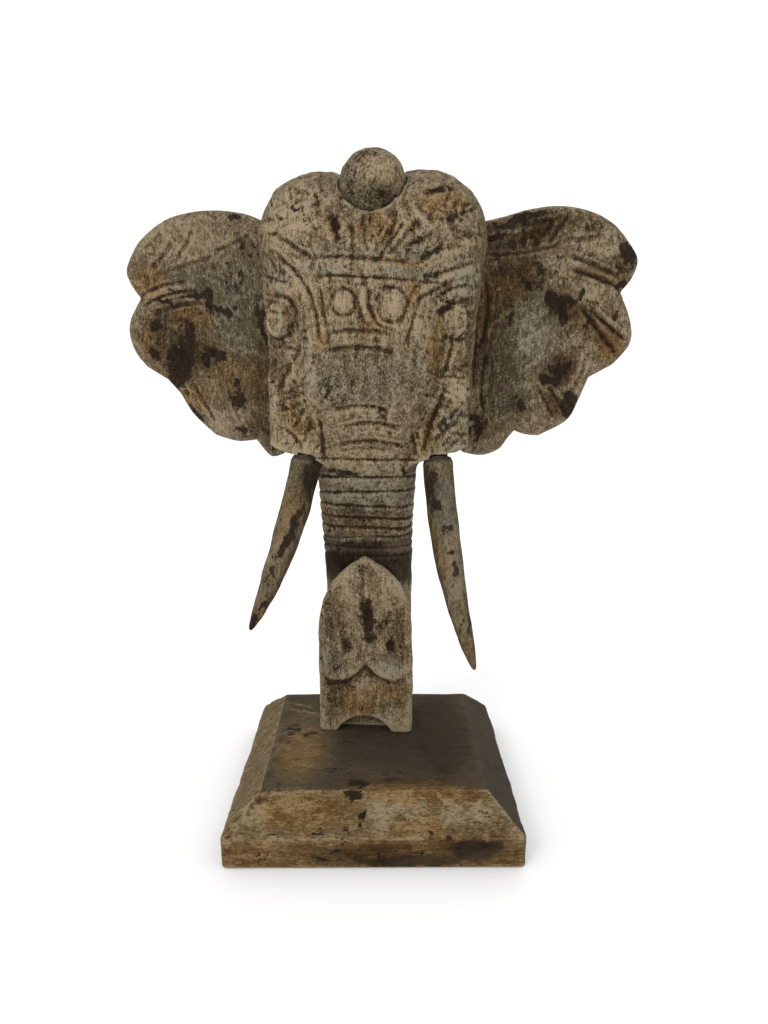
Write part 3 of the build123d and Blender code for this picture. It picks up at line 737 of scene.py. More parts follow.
def raise_mark(stains_and_painted_light, kind, amount):
    """Strengthens one kind of mark to at least the amount; stains and painted shade are both laid this way.
    """
    stains_and_painted_light[kind] = np.maximum(stains_and_painted_light[kind], amount)


def wandering(points, across, up, seed):
    """Two coordinates shifted a little by noise, so that stains laid on them get ragged outlines."""
    shifts = [bumps(points, (2.0, 7, seed + i), (1.5, 2.6, seed + 5 + i)) for i in range(2)]
    return across + shifts[0], up + shifts[1]


def chisel_strokes(count, seed):
    """Short shallow cuts scattered over the head, most of them pointing away from the brow's middle."""
    lines = []
    chances = [hashed(np.arange(count), j, 0, seed) for j in range(6)]
    for across, up, length, lean, bow, depth in zip(*chances):
        x = STROKE_X[0] + (STROKE_X[1] - STROKE_X[0]) * across
        z = STROKE_Z[0] + (STROKE_Z[1] - STROKE_Z[0]) * up
        if any(abs(x - middle) < half and low < z < high for middle, half, low, high in STROKE_FREE):
            continue
        angle = math.atan2(z - 296, 1.6 * (x - 1)) + 1.1 * (lean - 0.5)
        reach = 5 + 6 * length
        dx, dz = reach * math.cos(angle), reach * math.sin(angle)
        middle = (x - 0.3 * dz * (bow - 0.5), z + 0.3 * dx * (bow - 0.5))
        path = ((x - dx, z - dz), middle, (x + dx, z + dz))
        lines.append((1.0 + 0.5 * bow, 0.5 + 0.5 * depth, 0.4 * lean, *path))
    return lines


# ---------------------------------------------------------------- meshes from fields


def ticks(*runs):
    """Grid positions from runs of (start, end, step) laid end to end."""
    return np.concatenate([np.arange(start, end, step) for start, end, step in runs])


class Skin:
    """A mesh of quads with its points in millimetres."""

    def __init__(self, points, quads):
        self.points = points
        self.quads = quads

    @classmethod
    def of_field(cls, field, *axes):
        """The skin of a field on a grid, whose axes are the grid's positions along x, y and z."""
        x, y, z = np.meshgrid(*axes, indexing="ij", sparse=True)
        value = np.broadcast_to(field(x, y, z), [len(a) for a in axes]).astype(np.float32)
        places, quads = surface_net(value)
        columns = [np.interp(places[:, i], np.arange(len(a)), a) for i, a in enumerate(axes)]
        return cls(np.stack(columns, axis=1), quads)

    def normals(self):
        """The unit normal at every point, out of the solid."""
        a, b, c, d = (self.points[self.quads[:, i]] for i in range(4))
        face = np.cross(c - a, d - b)
        total = self.gather([face] * 4)
        return total / np.maximum(np.linalg.norm(total, axis=1, keepdims=True), 1e-9)

    def gather(self, per_corner):
        """The sum, at each point, of what each quad gives its four corners."""
        total = np.zeros((len(self.points), 3))
        for i in range(4):
            for axis in range(3):
                total[:, axis] += np.bincount(self.quads[:, i], per_corner[i][:, axis], len(self.points))
        return total

    def blurred(self, rounds):
        """The points after each has moved to the middle of its neighbours, a few times over."""
        neighbours = np.maximum(2 * np.bincount(self.quads.ravel(), minlength=len(self.points)), 1)[:, None]
        points = self.points
        for _ in range(rounds):
            corner = [points[self.quads[:, i]] for i in range(4)]
            points = self.gather([corner[i - 1] + corner[(i + 1) % 4] for i in range(4)]) / neighbours
        return points

    def push(self, inward):
        """Moves every point inward by its own amount."""
        self.points = self.points - self.normals() * inward[:, None]

    def soften(self, share):
        """Moves every point a share of the way to the middle of its neighbours."""
        self.points = (1 - share) * self.points + share * self.blurred(1)

    def hollows(self, rounds, scale):
        """About 1 in hollows, -1 on ridges and 0 on flats, for shapes of a few points across."""
        lift = ((self.blurred(rounds) - self.points) * self.normals()).sum(axis=1)
        return np.clip(lift / scale, -1, 1)

    def flank(self):
        """1 where the surface faces fully left or right, down to 0 where it faces the viewer."""
        return rising(np.abs(self.normals()[:, 0]), 0.55, 0.4)

    def facing(self):
        """1 where the surface faces the viewer, 0 where it faces sideways or back."""
        return np.clip(-self.normals()[:, 1] * 2.2, 0, 1)


def surface_net(value):
    """Points and quads of the surface where a grid of values crosses zero."""
    inside = value < 0
    cells = tuple(n - 1 for n in value.shape)
    corners = list(itertools.product((0, 1), repeat=3))
    shifts = [tuple(slice(o, o + n) for o, n in zip(corner, cells)) for corner in corners]
    count = sum(inside[shift].astype(np.int8) for shift in shifts)
    place = np.argwhere((count > 0) & (count < 8))
    number = np.full(cells, -1)
    number[tuple(place.T)] = np.arange(len(place))
    total = np.zeros((len(place), 3))
    hits = np.zeros(len(place))
    for axis in range(3):
        end = np.eye(3, dtype=int)[axis]
        for corner in corners:
            if corner[axis]:
                continue
            a = value[tuple((place + corner).T)]
            b = value[tuple((place + corner + end).T)]
            crossing = (a < 0) != (b < 0)
            share = np.where(crossing, a / np.where(crossing, a - b, 1), 0)
            total += np.where(crossing[:, None], np.array(corner) + share[:, None] * end, 0)
            hits += crossing
    points = place + total / hits[:, None]
    quads = []
    for axis in range(3):
        end, side, other = (np.eye(3, dtype=int)[(axis + i) % 3] for i in range(3))
        first = inside[tuple(slice(0, n - e) for n, e in zip(value.shape, end))]
        second = inside[tuple(slice(e, None) for e in end)]
        edges = np.argwhere(first != second)
        edges = edges[(edges[:, (axis + 1) % 3] > 0) & (edges[:, (axis + 2) % 3] > 0)]
        edges = edges[(edges < np.array(cells)).all(axis=1)]
        steps = ((1, 1), (0, 1), (0, 0), (1, 0))
        ring = [number[tuple((edges - a * side - b * other).T)] for a, b in steps]
        leaving = first[tuple(edges.T)]
        quad = np.stack(ring, axis=1)
        quad[~leaving] = quad[~leaving][:, ::-1]
        quads.append(quad)
    return points, np.concatenate(quads)


def to_world(points):
    """Carving frame in millimetres to the shared frame in metres."""
    c, s = math.cos(CARVING_TURN), math.sin(CARVING_TURN)
    turn = np.array([[c, -s, 0], [s, c, 0], [0, 0, 1]])
    return (points @ turn.T + np.array([CARVING_SHIFT_X, 0, 0])) / 1000


def add_mesh(node, points, faces, material, marks, body="carving"):
    """A smooth mesh object in metres that rides on a body and stands for a CAD node."""
    name = f"{node}_carving"
    mesh = bpy.data.meshes.new(name)
    mesh.from_pydata(points.tolist(), [], [list(f) for f in faces])
    mesh.polygons.foreach_set("use_smooth", [True] * len(mesh.polygons))
    for mark, values in marks.items():
        layer = mesh.attributes.new(mark, "FLOAT", "POINT")
        layer.data.foreach_set("value", np.asarray(values, np.float32))
    mesh.materials.append(material)
    mesh.validate()
    piece = bpy.data.objects.new(name, mesh)
    bpy.context.scene.collection.objects.link(piece)
    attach(piece, body)
    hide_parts(node)


def marks_of(skin, groove, stains_and_painted_light):
    """The marks that the wood's shader reads: grime with painted shade in carved lines, hollows small and
    broad for painted shade and ridge highlights, and every kind of stain with the painted light among them.
    """
    marks = {"groove": groove, "fine": skin.hollows(2, 0.26), "broad": skin.hollows(12, 1.0)}
    return marks | stains_and_painted_light


# ---------------------------------------------------------------- wood and metal

# How bright the studio light shows a white card that faces the camera.
STUDIO_GAIN = 1.25
# Where the four tones of a colour ramp stand.
RAMP_PLACES = (0.18, 0.40, 0.60, 0.84)


def linear(r, g, b):
    """A colour as the camera shows it, each part from 0 to 255, as the surface's own linear colour."""
    return tuple(((v / 255 + 0.055) / 1.055) ** 2.4 / STUDIO_GAIN for v in (r, g, b)) + (1.0,)


class Shader:
    """A small helper for building a node material in millimetres."""

    def __init__(self, name):
        self.material = bpy.data.materials.new(name)
        self.material.use_nodes = True
        self.tree = self.material.node_tree
        self.tree.nodes.clear()
        self.bsdf = self.add("BsdfPrincipled")
        self.add("OutputMaterial", {"Surface": self.bsdf.outputs[0]})
        where = self.add("TexCoord").outputs["Object"]
        self.millimetres = self.add("VectorMath", {0: where, "Scale": 1000}, operation="SCALE").outputs[0]

    def connect(self, node, inputs):
        """Gives a node's inputs their values, each a constant or another node's output."""
        for socket, value in inputs.items():
            if isinstance(value, (int, float, tuple)):
                node.inputs[socket].default_value = value
            else:
                self.tree.links.new(value, node.inputs[socket])

    def add(self, kind, inputs=None, **settings):
        """A new node with its settings and inputs."""
        node = self.tree.nodes.new(f"ShaderNode{kind}")
        for setting, value in settings.items():
            setattr(node, setting, value)
        self.connect(node, inputs or {})
        return node

    def finished(self, inputs):
        """The material, once the surface has its inputs."""
        self.connect(self.bsdf, inputs)
        return self.material

    def mark(self, name):
        """A mark that the mesh carries, one value for each point."""
        return self.add("Attribute", attribute_name=name).outputs["Fac"]

    def noise(self, size, stretch=(1, 1, 1), detail=3, rough=0.55, offset=0.0, twist=0.0):
        """Cloudy noise about 0.5 with features of about the size, stretched along an axis."""
        scale = tuple(1 / (size * s) for s in stretch)
        place = (offset, offset * 1.7, offset * 0.6)
        mapping = self.add("Mapping", {"Vector": self.millimetres, "Scale": scale, "Location": place})
        inputs = {"Scale": 1.0, "Detail": detail, "Roughness": rough, "Distortion": twist}
        return self.add("TexNoise", {"Vector": mapping.outputs[0], **inputs}).outputs["Fac"]

    def math(self, operation, a, b=0.0, c=0.0):
        """One sum on up to three values."""
        return self.add("Math", {0: a, 1: b, 2: c}, operation=operation).outputs[0]

    def total(self, start, marks=(), noises=()):
        """start plus weighted marks, and weighted noises measured from their middle of 0.5."""
        value = start - 0.5 * sum(weight for _, weight in noises)
        for source, weight in (*marks, *noises):
            value = self.math("MULTIPLY_ADD", source, weight, value)
        return value

    def step(self, value, low, high, top=1.0):
        """0 below low, top above high, and smooth between."""
        inputs = {"Value": value, "From Min": low, "From Max": high, "To Max": top}
        return self.add("MapRange", inputs, interpolation_type="SMOOTHSTEP").outputs["Result"]

    def mix(self, amount, a, b, blend="MIX"):
        """Colour a with an amount of colour b mixed or multiplied into it."""
        node = self.add("Mix", data_type="RGBA", blend_type=blend)
        self.connect(node, {"Factor": amount, 6: a, 7: b})
        return node.outputs[2]

    def ramp(self, value, tones):
        """Four display colours spread over the value, from dark to light."""
        node = self.add("ValToRGB", {"Fac": value})
        stops = node.color_ramp.elements
        stops[0].position, stops[1].position = RAMP_PLACES[0], RAMP_PLACES[-1]
        for place in RAMP_PLACES[1:-1]:
            stops.new(place)
        for stop, tone in zip(stops, tones):
            stop.color = linear(*tone)
        return node.outputs["Color"]

    def bump(self, height, distance_mm, strength=1.0):
        """A normal that follows a height, of which 1 is a distance in millimetres."""
        inputs = {"Height": height, "Distance": distance_mm / 1000, "Strength": strength}
        return self.add("Bump", inputs).outputs[0]


# The colours that a stain multiplies into the wood's own, and how strongly.
TINTS = {
    "ochre": (0.98, 0.80, 0.55, 1.0),
    "grey": (0.78, 0.88, 0.98, 1.0),
    "brown": (0.52, 0.40, 0.27, 1.0),
}
TINT_STRENGTH = 0.8
FLAKE_TONES = ((18, 10, 4), (30, 18, 9), (45, 30, 16), (66, 47, 28))


class Wood(Shader):
    """The shader of wood with a thin flaking wash, built from noises and marks that its layers share.

    The grain and the stretch say how long the fibres and the patches run along each axis, and fine_wear
    how strongly the small specks show.
    """

    def __init__(self, name, grain, stretch, fine_wear):
        super().__init__(name)
        self.fine_wear = fine_wear
        self.clouds = self.noise(17, (1, 1, 1.5), detail=3, rough=0.6, offset=3)
        self.mottle = self.noise(3.4, stretch, detail=5, rough=0.7, offset=11, twist=0.5)
        self.speckle = self.noise(1.25, stretch, detail=3, rough=0.7, offset=19)
        self.grit = self.noise(0.85, stretch, detail=2, rough=0.6, offset=27)
        self.fibres = self.noise(0.75, grain, detail=4, rough=0.65, offset=7, twist=0.8)
        self.streaks = self.noise(1.6, tuple(2.2 * g for g in grain), detail=4, rough=0.6, offset=23)
        self.ragged = self.noise(4.2, stretch, detail=9, rough=0.78, offset=31)
        self.worn = self.noise(2.6, stretch, detail=7, rough=0.78, offset=57, twist=0.6)
        self.fine, self.broad, self.groove = (self.mark(mark) for mark in ("fine", "broad", "groove"))

    def wash(self, tones):
        """The wash's colour: pale where it is chalky, dark in worn patches, dark in hollows and carved
        lines with grime and painted shade, and lighter on ridges as a painted highlight.
        """
        pale = self.mark("pale")
        # Hollows are painted darker as shade, partly standing for grime, and ridges lighter as a painted
        # highlight.
        value = self.total(
            0.56,
            marks=[(self.fine, -0.17), (self.broad, -0.17), (pale, 0.14), (self.mark("deep"), -0.20)],
            noises=[
                (self.clouds, 0.6), (self.mottle, 0.7), (self.speckle, self.fine_wear),
                (self.grit, 1.2 * self.fine_wear), (self.fibres, 0.3 + 0.9 * self.fine_wear),
            ],
        )
        chalk = self.total(
            0.5,
            marks=[(self.fine, -0.08), (pale, 0.07)],
            noises=[(self.ragged, 1.0), (self.speckle, 0.5)],
        )
        value = self.math("MULTIPLY_ADD", self.step(chalk, 0.54, 0.57), 0.13, value)
        patches = self.total(
            0.5,
            marks=[(self.fine, 0.10), (self.groove, 0.10)],
            noises=[(self.worn, 1.1), (self.mottle, 0.6), (self.clouds, 0.4)],
        )
        patch_depth = -0.04 - 0.23 * self.fine_wear
        value = self.math("MULTIPLY_ADD", self.step(patches, 0.56, 0.58), patch_depth, value)
        # Carved lines are darker: grime together with painted shade in the cuts.
        line = self.total(0.0, marks=[(self.groove, 1.0)], noises=[(self.speckle, 1.6), (self.clouds, 2.4)])
        value = self.math("MULTIPLY_ADD", self.step(line, 0.58, 0.88), -0.10, value)
        return self.ramp(value, tones)

    def old_stain(self, colour, tones):
        """The colour with the thin old stain over it where it is marked; at the tusks' roots this old stain
        is painted shadow.
        """
        # Within the old stain too, hollows are painted darker as shade and ridges lighter as a highlight.
        value = self.total(
            0.5,
            marks=[(self.fine, -0.2), (self.mark("pale"), 0.4), (self.mark("deep"), -0.2)],
            noises=[(self.streaks, 0.7), (self.clouds, 0.4), (self.grit, 0.6)],
        )
        cover = self.total(
            0.0,
            marks=[(self.mark("old"), 1.0)],
            noises=[(self.ragged, 1.3), (self.clouds, 0.6), (self.streaks, 0.5)],
        )
        return self.mix(self.step(cover, 0.36, 0.74, 0.92), colour, self.ramp(value, tones))

    def tinted(self, colour):
        """The colour with the ochre, grey and brown stains multiplied into it."""
        for kind, tint in TINTS.items():
            cover = self.total(
                0.0, marks=[(self.mark(kind), 1.0)], noises=[(self.mottle, 1.1), (self.clouds, 1.0)]
            )
            colour = self.mix(self.step(cover, 0.10, 0.85, TINT_STRENGTH), colour, tint, "MULTIPLY")
        return colour

    def flakes(self):
        """Where old dark finish still holds: large flakes where they are marked, and specks all over."""
        flakes = self.total(
            0.0,
            marks=[(self.mark("dark"), 1.0), (self.mark("specked"), 0.55)],
            noises=[(self.ragged, 3.4), (self.speckle, 1.4)],
        )
        specks = self.total(
            0.5,
            marks=[(self.fine, 0.05), (self.groove, 0.05)],
            noises=[(self.worn, 1.0), (self.speckle, 0.5), (self.clouds, 0.8)],
        )
        flakes = self.step(flakes, 0.60, 0.65, 0.95)
        return self.math("MAXIMUM", flakes, self.step(specks, 0.67, 0.69, 0.85))

    def relief(self, flakes):
        """The bump of fibres, grit and specks, a little lower where the flakes are."""
        height = self.total(
            0.5,
            noises=[(self.mottle, 0.6), (self.speckle, 0.7), (self.grit, 0.3), (self.fibres, 1.0)],
        )
        return self.bump(self.math("MULTIPLY_ADD", flakes, -0.25, height), 1.0, 0.9)


def weathered_wood(
    name, tones, old_tones, grain=(1, 1, 9), stretch=(1, 1, 1.3), fine_wear=1.0, roughness=0.8
):
    """Washed wood in four tones, with painted shade in hollows and carved lines, a painted highlight on
    ridges, an older stain, tints and flakes where it is marked.
    """
    s = Wood(name, grain, stretch, fine_wear)
    colour = s.tinted(s.old_stain(s.wash(tones), old_tones))
    flakes = s.flakes()
    flake_colour = s.ramp(s.total(0.5, noises=[(s.grit, 1.2), (s.mottle, 1.2)]), FLAKE_TONES)
    return s.finished({
        "Base Color": s.mix(flakes, colour, flake_colour),
        "Roughness": s.math("MULTIPLY_ADD", s.mottle, 0.12, roughness),
        "Specular IOR Level": 0.15,
        "Normal": s.relief(flakes),
    })


def turned_wood(name):
    """Clean dowel wood with fine pores along its grain."""
    s = Shader(name)
    grain = s.noise(0.8, (12, 1, 1), detail=4)
    colour = s.mix(s.step(grain, 0.35, 0.65), linear(168, 128, 84), linear(204, 168, 118))
    return s.finished({"Base Color": colour, "Roughness": 0.6, "Normal": s.bump(grain, 0.15)})


def plated_steel(name):
    """Zinc plate with turning marks and dull blotches."""
    s = Shader(name)
    turning = s.noise(0.25, (30, 30, 1), detail=2)
    blotch = s.noise(3.0, detail=4, offset=5)
    return s.finished({
        "Base Color": s.mix(blotch, (0.42, 0.41, 0.38, 1), (0.66, 0.66, 0.65, 1)),
        "Metallic": 1.0,
        "Roughness": s.math("MULTIPLY_ADD", blotch, 0.3, 0.22),
        "Normal": s.bump(turning, 0.04),
    })


# ---------------------------------------------------------------- the head block


def tusk_arc(name):
    """A tusk's root, the unit vector that runs down into it there, and its arc's middle and unit normal."""
    a, b, c = (np.array(p, float) for p in TUSK_ARCS[name])
    normal = np.cross(b - a, c - a)
    offset = np.cross(normal, b - a) * ((c - a) @ (c - a)) + np.cross(c - a, normal) * ((b - a) @ (b - a))
    middle = a + offset / (2 * (normal @ normal))
    tangent = np.cross(normal, a - middle)
    return a, tangent / np.linalg.norm(tangent), middle, normal / np.linalg.norm(normal)


def knob_axis():
    """The seat of the knob's collar and the unit vector out of it."""
    axis = np.array([0, -math.sin(KNOB_LEAN), math.cos(KNOB_LEAN)])
    return np.array(KNOB_CENTRE) - KNOB_SEAT_BELOW * axis, axis


def ear_board(x, y, side):
    """Distance out along an ear's board and depth behind its front face."""
    c, s = math.cos(EAR_SWEEP), math.sin(EAR_SWEEP)
    dx, dy = side * (x - side * EAR_ROOT_X), y - EAR_FRONT_Y
    return dx * c + dy * s, dy * c - dx * s


TIP_OUTLINE = [
    [(-34.2, 77.5), (-34.4, 90), (-33, 118), (-25.5, 136.5), (-14, 149), (-3.8, 156.5)],
    [(-3.8, 156.5), (8, 149), (19, 137), (25.4, 118), (26.8, 90), (26.8, 79)],
    [(26.8, 79), (21, 73.5), (13, 72.5), (4.5, 76), (-2.8, 83.5)],
    [(-2.8, 83.5), (-9, 77.5), (-17.5, 72), (-27, 71.5), (-34.2, 77.5)],
]
TIP_MIDDLE_X = -3.8
TIP_THICKNESS = 17.0
TIP_CROWN = 0.0045
TIP_EDGE = 4.5
# The plate thins above this height, by this much for each millimetre.
TIP_THINNING = (92.0, 0.155)
# Nostrils: middle and radii.
NOSTRILS = [((-15.5, 97.0), (4.2, 6.4)), ((13.7, 97.5), (3.3, 7.2))]
NOSTRIL_DEPTH = 2.6


def skull_field(x, y, z):
    """Skull, domes, cheeks and eyes."""
    solid = stack(x, y, z, SKULL_ROWS)
    for side in (-1, 1):
        middle = (DOME_MIDDLE[0] + side * DOME_X, *DOME_MIDDLE[1:])
        solid = union(solid, ellipsoid(x, y, z, middle, DOME_RADII), 5.0)
        low, high = sorted(side * v for v in CHEEK_X)
        near, far = zip((low, high), CHEEK_Y, CHEEK_Z)
        cheek = block(x, y, z, near, far, CHEEK_CORNER)
        outer = JAW_OUTER[1] * np.maximum(side * x - JAW_OUTER[0], 0)
        inner = JAW_INNER[1] * np.maximum(JAW_INNER[0] - side * x, 0)
        underside = 0.94 * (JAW_LINE + outer - inner - z)
        solid = union(solid, common(cheek, underside, 1.5), 6.0)
        eye = (side * EYE_PLACE[0], *EYE_PLACE[1:])
        solid = union(solid, ellipsoid(x, y, z, eye, EYE_RADII), 3.0)
    return solid


def tip_field(x, y, z):
    """The trunk tip: a pointed plate with a heart-shaped foot, crowned across, with its nostrils."""
    outline = outline_distance(x[:, :, 0:1], z, outline_points(TIP_OUTLINE))
    crown = TIP_CROWN * (x - TIP_MIDDLE_X) ** 2
    back = TIP_THICKNESS - np.maximum(z - TIP_THINNING[0], 0) * TIP_THINNING[1]
    plate = common(outline, np.maximum(crown - y, y - back), TIP_EDGE)
    for (nx, nz), (rx, rz) in NOSTRILS:
        plate = cut(plate, ellipsoid(x, y, z, (nx, -0.3, nz), (rx, NOSTRIL_DEPTH, rz)), 1.2)
    return plate


def head_field(x, y, z):
    """The whole carved block: skull, trunk, tip and foot, with its joints cut in."""
    solid = union(skull_field(x, y, z), stack(x, y, z, TRUNK_ROWS), 6.0)
    below = PLINTH_HEIGHT - 16
    foot = block(x, y, z, (FOOT_X[0], FOOT_Y[0], below), (FOOT_X[1], FOOT_Y[1], FOOT_TOP + 2), FOOT_CORNER)
    solid = union(solid, foot, 2.0)
    across = (x - ARCH_MIDDLE[0]) / ARCH_RADII[0]
    up = (z - ARCH_MIDDLE[1]) / ARCH_RADII[1]
    arch = (np.sqrt(across**2 + up**2) - 1) * ARCH_RADII[1]
    solid = cut(solid, np.maximum(arch, y - ARCH_BACK_Y), 1.0)
    solid = union(solid, tip_field(x, y, z), 0.8)
    seat, axis = knob_axis()
    lip_radius, lip_height = KNOB_LIP
    solid = union(solid, rod(x, y, z, seat - 15 * axis, seat + lip_height * axis, lip_radius), 1.5)
    centre = np.array(KNOB_CENTRE)
    niche_radius = KNOB_RADIUS + KNOB_GAP
    above_ball = rod(x, y, z, centre, centre + 60 * axis, niche_radius)
    niche = np.minimum(ellipsoid(x, y, z, centre, (niche_radius,) * 3), above_ball)
    collar_seat = rod(x, y, z, seat, seat + (COLLAR_HEIGHT + KNOB_GAP) * axis, COLLAR_RADIUS + 0.2)
    solid = cut(solid, np.minimum(niche, collar_seat), 0.6)
    bottom = seat - (KNOB_TENON_LENGTH + 1) * axis
    solid = cut(solid, rod(x, y, z, bottom, seat + axis, KNOB_TENON_RADIUS + 0.5), 0.5)
    for side in (-1, 1):
        out, deep = ear_board(x, y, side)
        solid = cut(solid, np.maximum(-out, -deep), 0.8)
    for name in TUSK_ARCS:
        root, down, *_ = tusk_arc(name)
        socket = rod(x, y, z, root - SOCKET_DEPTH * down, root + down, TENON_RADIUS + SOCKET_GAP)
        clearance = rod(x, y, z, root - 0.3 * down, root + 16 * down, TUSK_RADIUS + 0.4)
        solid = cut(cut(solid, socket, 0.5), clearance, 0.5)
    return np.maximum(solid, PLINTH_HEIGHT - z)


def ring_marks(points, weight):
    """Depth of the thin grooves round the trunk, with the band below each standing proud, and their grime
    with painted shade.
    """
    depth, grime_and_shade = np.zeros(len(points)), np.zeros(len(points))
    for i, (height, tilt) in enumerate(TRUNK_RINGS):
        line = height + tilt * (points[:, 0] + 2) / 28 + 0.6 * noise(points, (16, 30, 900), 40 + i)
        above = points[:, 2] - line
        below = rising(above, -5.5, 5.5) * (above < 0)
        broken = 0.75 + 0.35 * noise(points, (7, 7, 900), 60 + i)
        depth += weight * (1.15 * broken * bell(above, 0.95) - 0.45 * below)
        grime_and_shade = np.maximum(grime_and_shade, weight * broken * bell(above, 0.8))
    return depth, grime_and_shade


def tool_marks(p, skull):
    """Gouge scoops and small unevenness over the head block; skull is 1 on the head and 0 on the trunk."""
    left = falling(p[:, 0], 10, 20)
    strokes = left * gouges(p, (5.5, 8, 13), 5, -38) + (1 - left) * gouges(p, (5.5, 8, 13), 6, 38)
    dome = rising(p[:, 2], 330, 12)
    scoops = dome * strokes + (1 - dome) * gouges(p, (6, 7, 14), 7)
    marks = (0.8 + 0.2 * dome) * (scoops - 0.5) * skull
    marks += 0.5 * (gouges(p, (8, 9, 15), 15) - 0.5) * (1 - skull)
    return marks + bumps(p, (0.3, 10, 21), (0.22, (3.6, 3.6, 6), 22), (0.12, (1.9, 1.9, 4), 23))


def carved_face(p, front, on_plate):
    """Depth of every line carved on the head block, and its grime with painted shade."""
    x, y, z = p.T
    face = front * rising(z, 212, 6)
    depth, groove = carve(x, z, FACE_LINES + chisel_strokes(STROKE_COUNT, 301))
    ring_depth, ring_grime_and_shade = carve_rings(x, z)
    depth, groove = (depth + ring_depth) * face, np.maximum(groove, ring_grime_and_shade) * face
    on_trunk = falling(z, 222, 4) * rising(z, 146, 8) * falling(np.abs(x + 2), 33.5, 2) * ~on_plate
    trunk_depth, trunk_grime_and_shade = ring_marks(p, on_trunk)
    crease = front * (z > 126) * (z < 156) * (y < 6) * bell(x - TIP_MIDDLE_X + 0.5, 1.0)
    gash = front * (y < 8) * np.exp(-(((x + 1) / 2.6) ** 4) - ((z - 117) / 11) ** 4)
    depth += trunk_depth + 0.4 * crease + 0.7 * gash
    return depth, np.maximum(groove, trunk_grime_and_shade)


def head_stains(p, front, on_plate):
    """The stains of the face, the trunk and its tip, with the painted highlights among them, each on its
    own part of the head block.
    """
    x, y, z = p.T
    u, v = wandering(p, x, z, 201)
    stains_and_painted_light = {}
    for kind in STAIN_KINDS:
        upper = stain(u, v, FACE_STAINS_AND_PAINTED_LIGHT, kind) * rising(z, 216, 6)
        tip = stain(u, v, TIP_STAINS, kind) * (z < 160) * (on_plate | ((z < 92) & (y < 14)))
        trunk = stain(u, v, TRUNK_STAINS_AND_PAINTED_LIGHT, kind) * (z < 224) * ~on_plate
        facing = 1.0 if kind == "old" else front
        stains_and_painted_light[kind] = facing * np.maximum(np.maximum(upper, tip), trunk)
    return stains_and_painted_light


def make_head(material):
    """The head block with its trunk, on a grid that is finer over the face than elsewhere."""
    skin = Skin.of_field(
        head_field,
        ticks((-72, 74, 1.2)),
        ticks((-52, 64, 1.45)),
        ticks((33, 148, 1.3), (148, 345, 1.08), (345, 390, 1.3)),
    )
    p = skin.points
    y, z = p[:, 1], p[:, 2]
    front = skin.facing()
    on_plate = (z < 158) & (y < 8)
    depth, groove = carved_face(p, front, on_plate)
    skin.push(depth + rising(z, PLINTH_HEIGHT + 1, 4) * tool_marks(p, rising(z, 215, 10)))
    skin.soften(0.2)
    stains_and_painted_light = head_stains(p, front, on_plate)
    # Painted shade: the head is made darker where it faces sideways.
    raise_mark(stains_and_painted_light, "deep", 0.6 * skin.flank())
    add_mesh("head_and_trunk", to_world(skin.points), skin.quads, material, marks_of(skin, groove, stains_and_painted_light))


# ---------------------------------------------------------------- ears, knob, tusks and plinth


def make_ear(name, side, material):
    """An ear board, made flat and then set out from the head's flank at its sweep."""
    outline = outline_points(EAR_OUTLINES[name])

    def field(out, deep, z):
        rim = outline_distance(out[:, :, 0:1], z, outline) - 1.3
        dish = EAR_DISH_DEPTH * bell(out - EAR_DISH_MIDDLE[0], EAR_DISH_SPREAD[0])
        dish = dish * bell(z - EAR_DISH_MIDDLE[1], EAR_DISH_SPREAD[1])
        depth, width = EAR_FRONT_WEAR
        front = dish + depth * rising(rim, -width, width) ** 2 - 0.9 * falling(out, 16, 16)
        depth, width = EAR_BACK_WEAR
        back = EAR_THICKNESS - depth * rising(rim, -width, width) ** 2
        board = common(rim, np.maximum(front - deep, deep - back), 2.2)
        return np.maximum(board, 0.15 - out)

    skin = Skin.of_field(field, ticks((-2, 110, 0.95)), ticks((-3, 18, 1.1)), ticks((212, 370, 0.95)))
    p = skin.points
    out, z = p[:, 0], p[:, 2]
    front = skin.facing()
    depth, groove = carve(out, z, EAR_LINES[name])
    seed = 50 + side
    scoops = 0.75 * (gouges(p, (16, 11, 8), seed, 35) - 0.5)
    rough = bumps(p, (0.3, 11, seed + 20), (0.2, (3.4, 3.4, 4.5), seed + 30), (0.1, 1.9, seed + 40))
    flat = np.clip(1.3 * np.abs(skin.normals()[:, 1]) - 0.3, 0, 1)
    skin.push(front * depth + rising(out, 0, 4) * (flat * scoops + (0.3 + 0.7 * flat) * rough))
    skin.soften(0.2)
    stains_and_painted_light = all_stains(*wandering(p, out, z, seed + 160), EAR_STAINS[name], front)
    marks = marks_of(skin, front * groove, stains_and_painted_light)
    out, deep, z = skin.points.T
    c, s = math.cos(EAR_SWEEP), math.sin(EAR_SWEEP)
    x = side * (EAR_ROOT_X + out * c - deep * s)
    points = to_world(np.stack([x, EAR_FRONT_Y + out * s + deep * c, z], axis=1))
    quads = skin.quads if side > 0 else skin.quads[:, ::-1]
    add_mesh(f"ear_{name}", points, quads, material, marks)


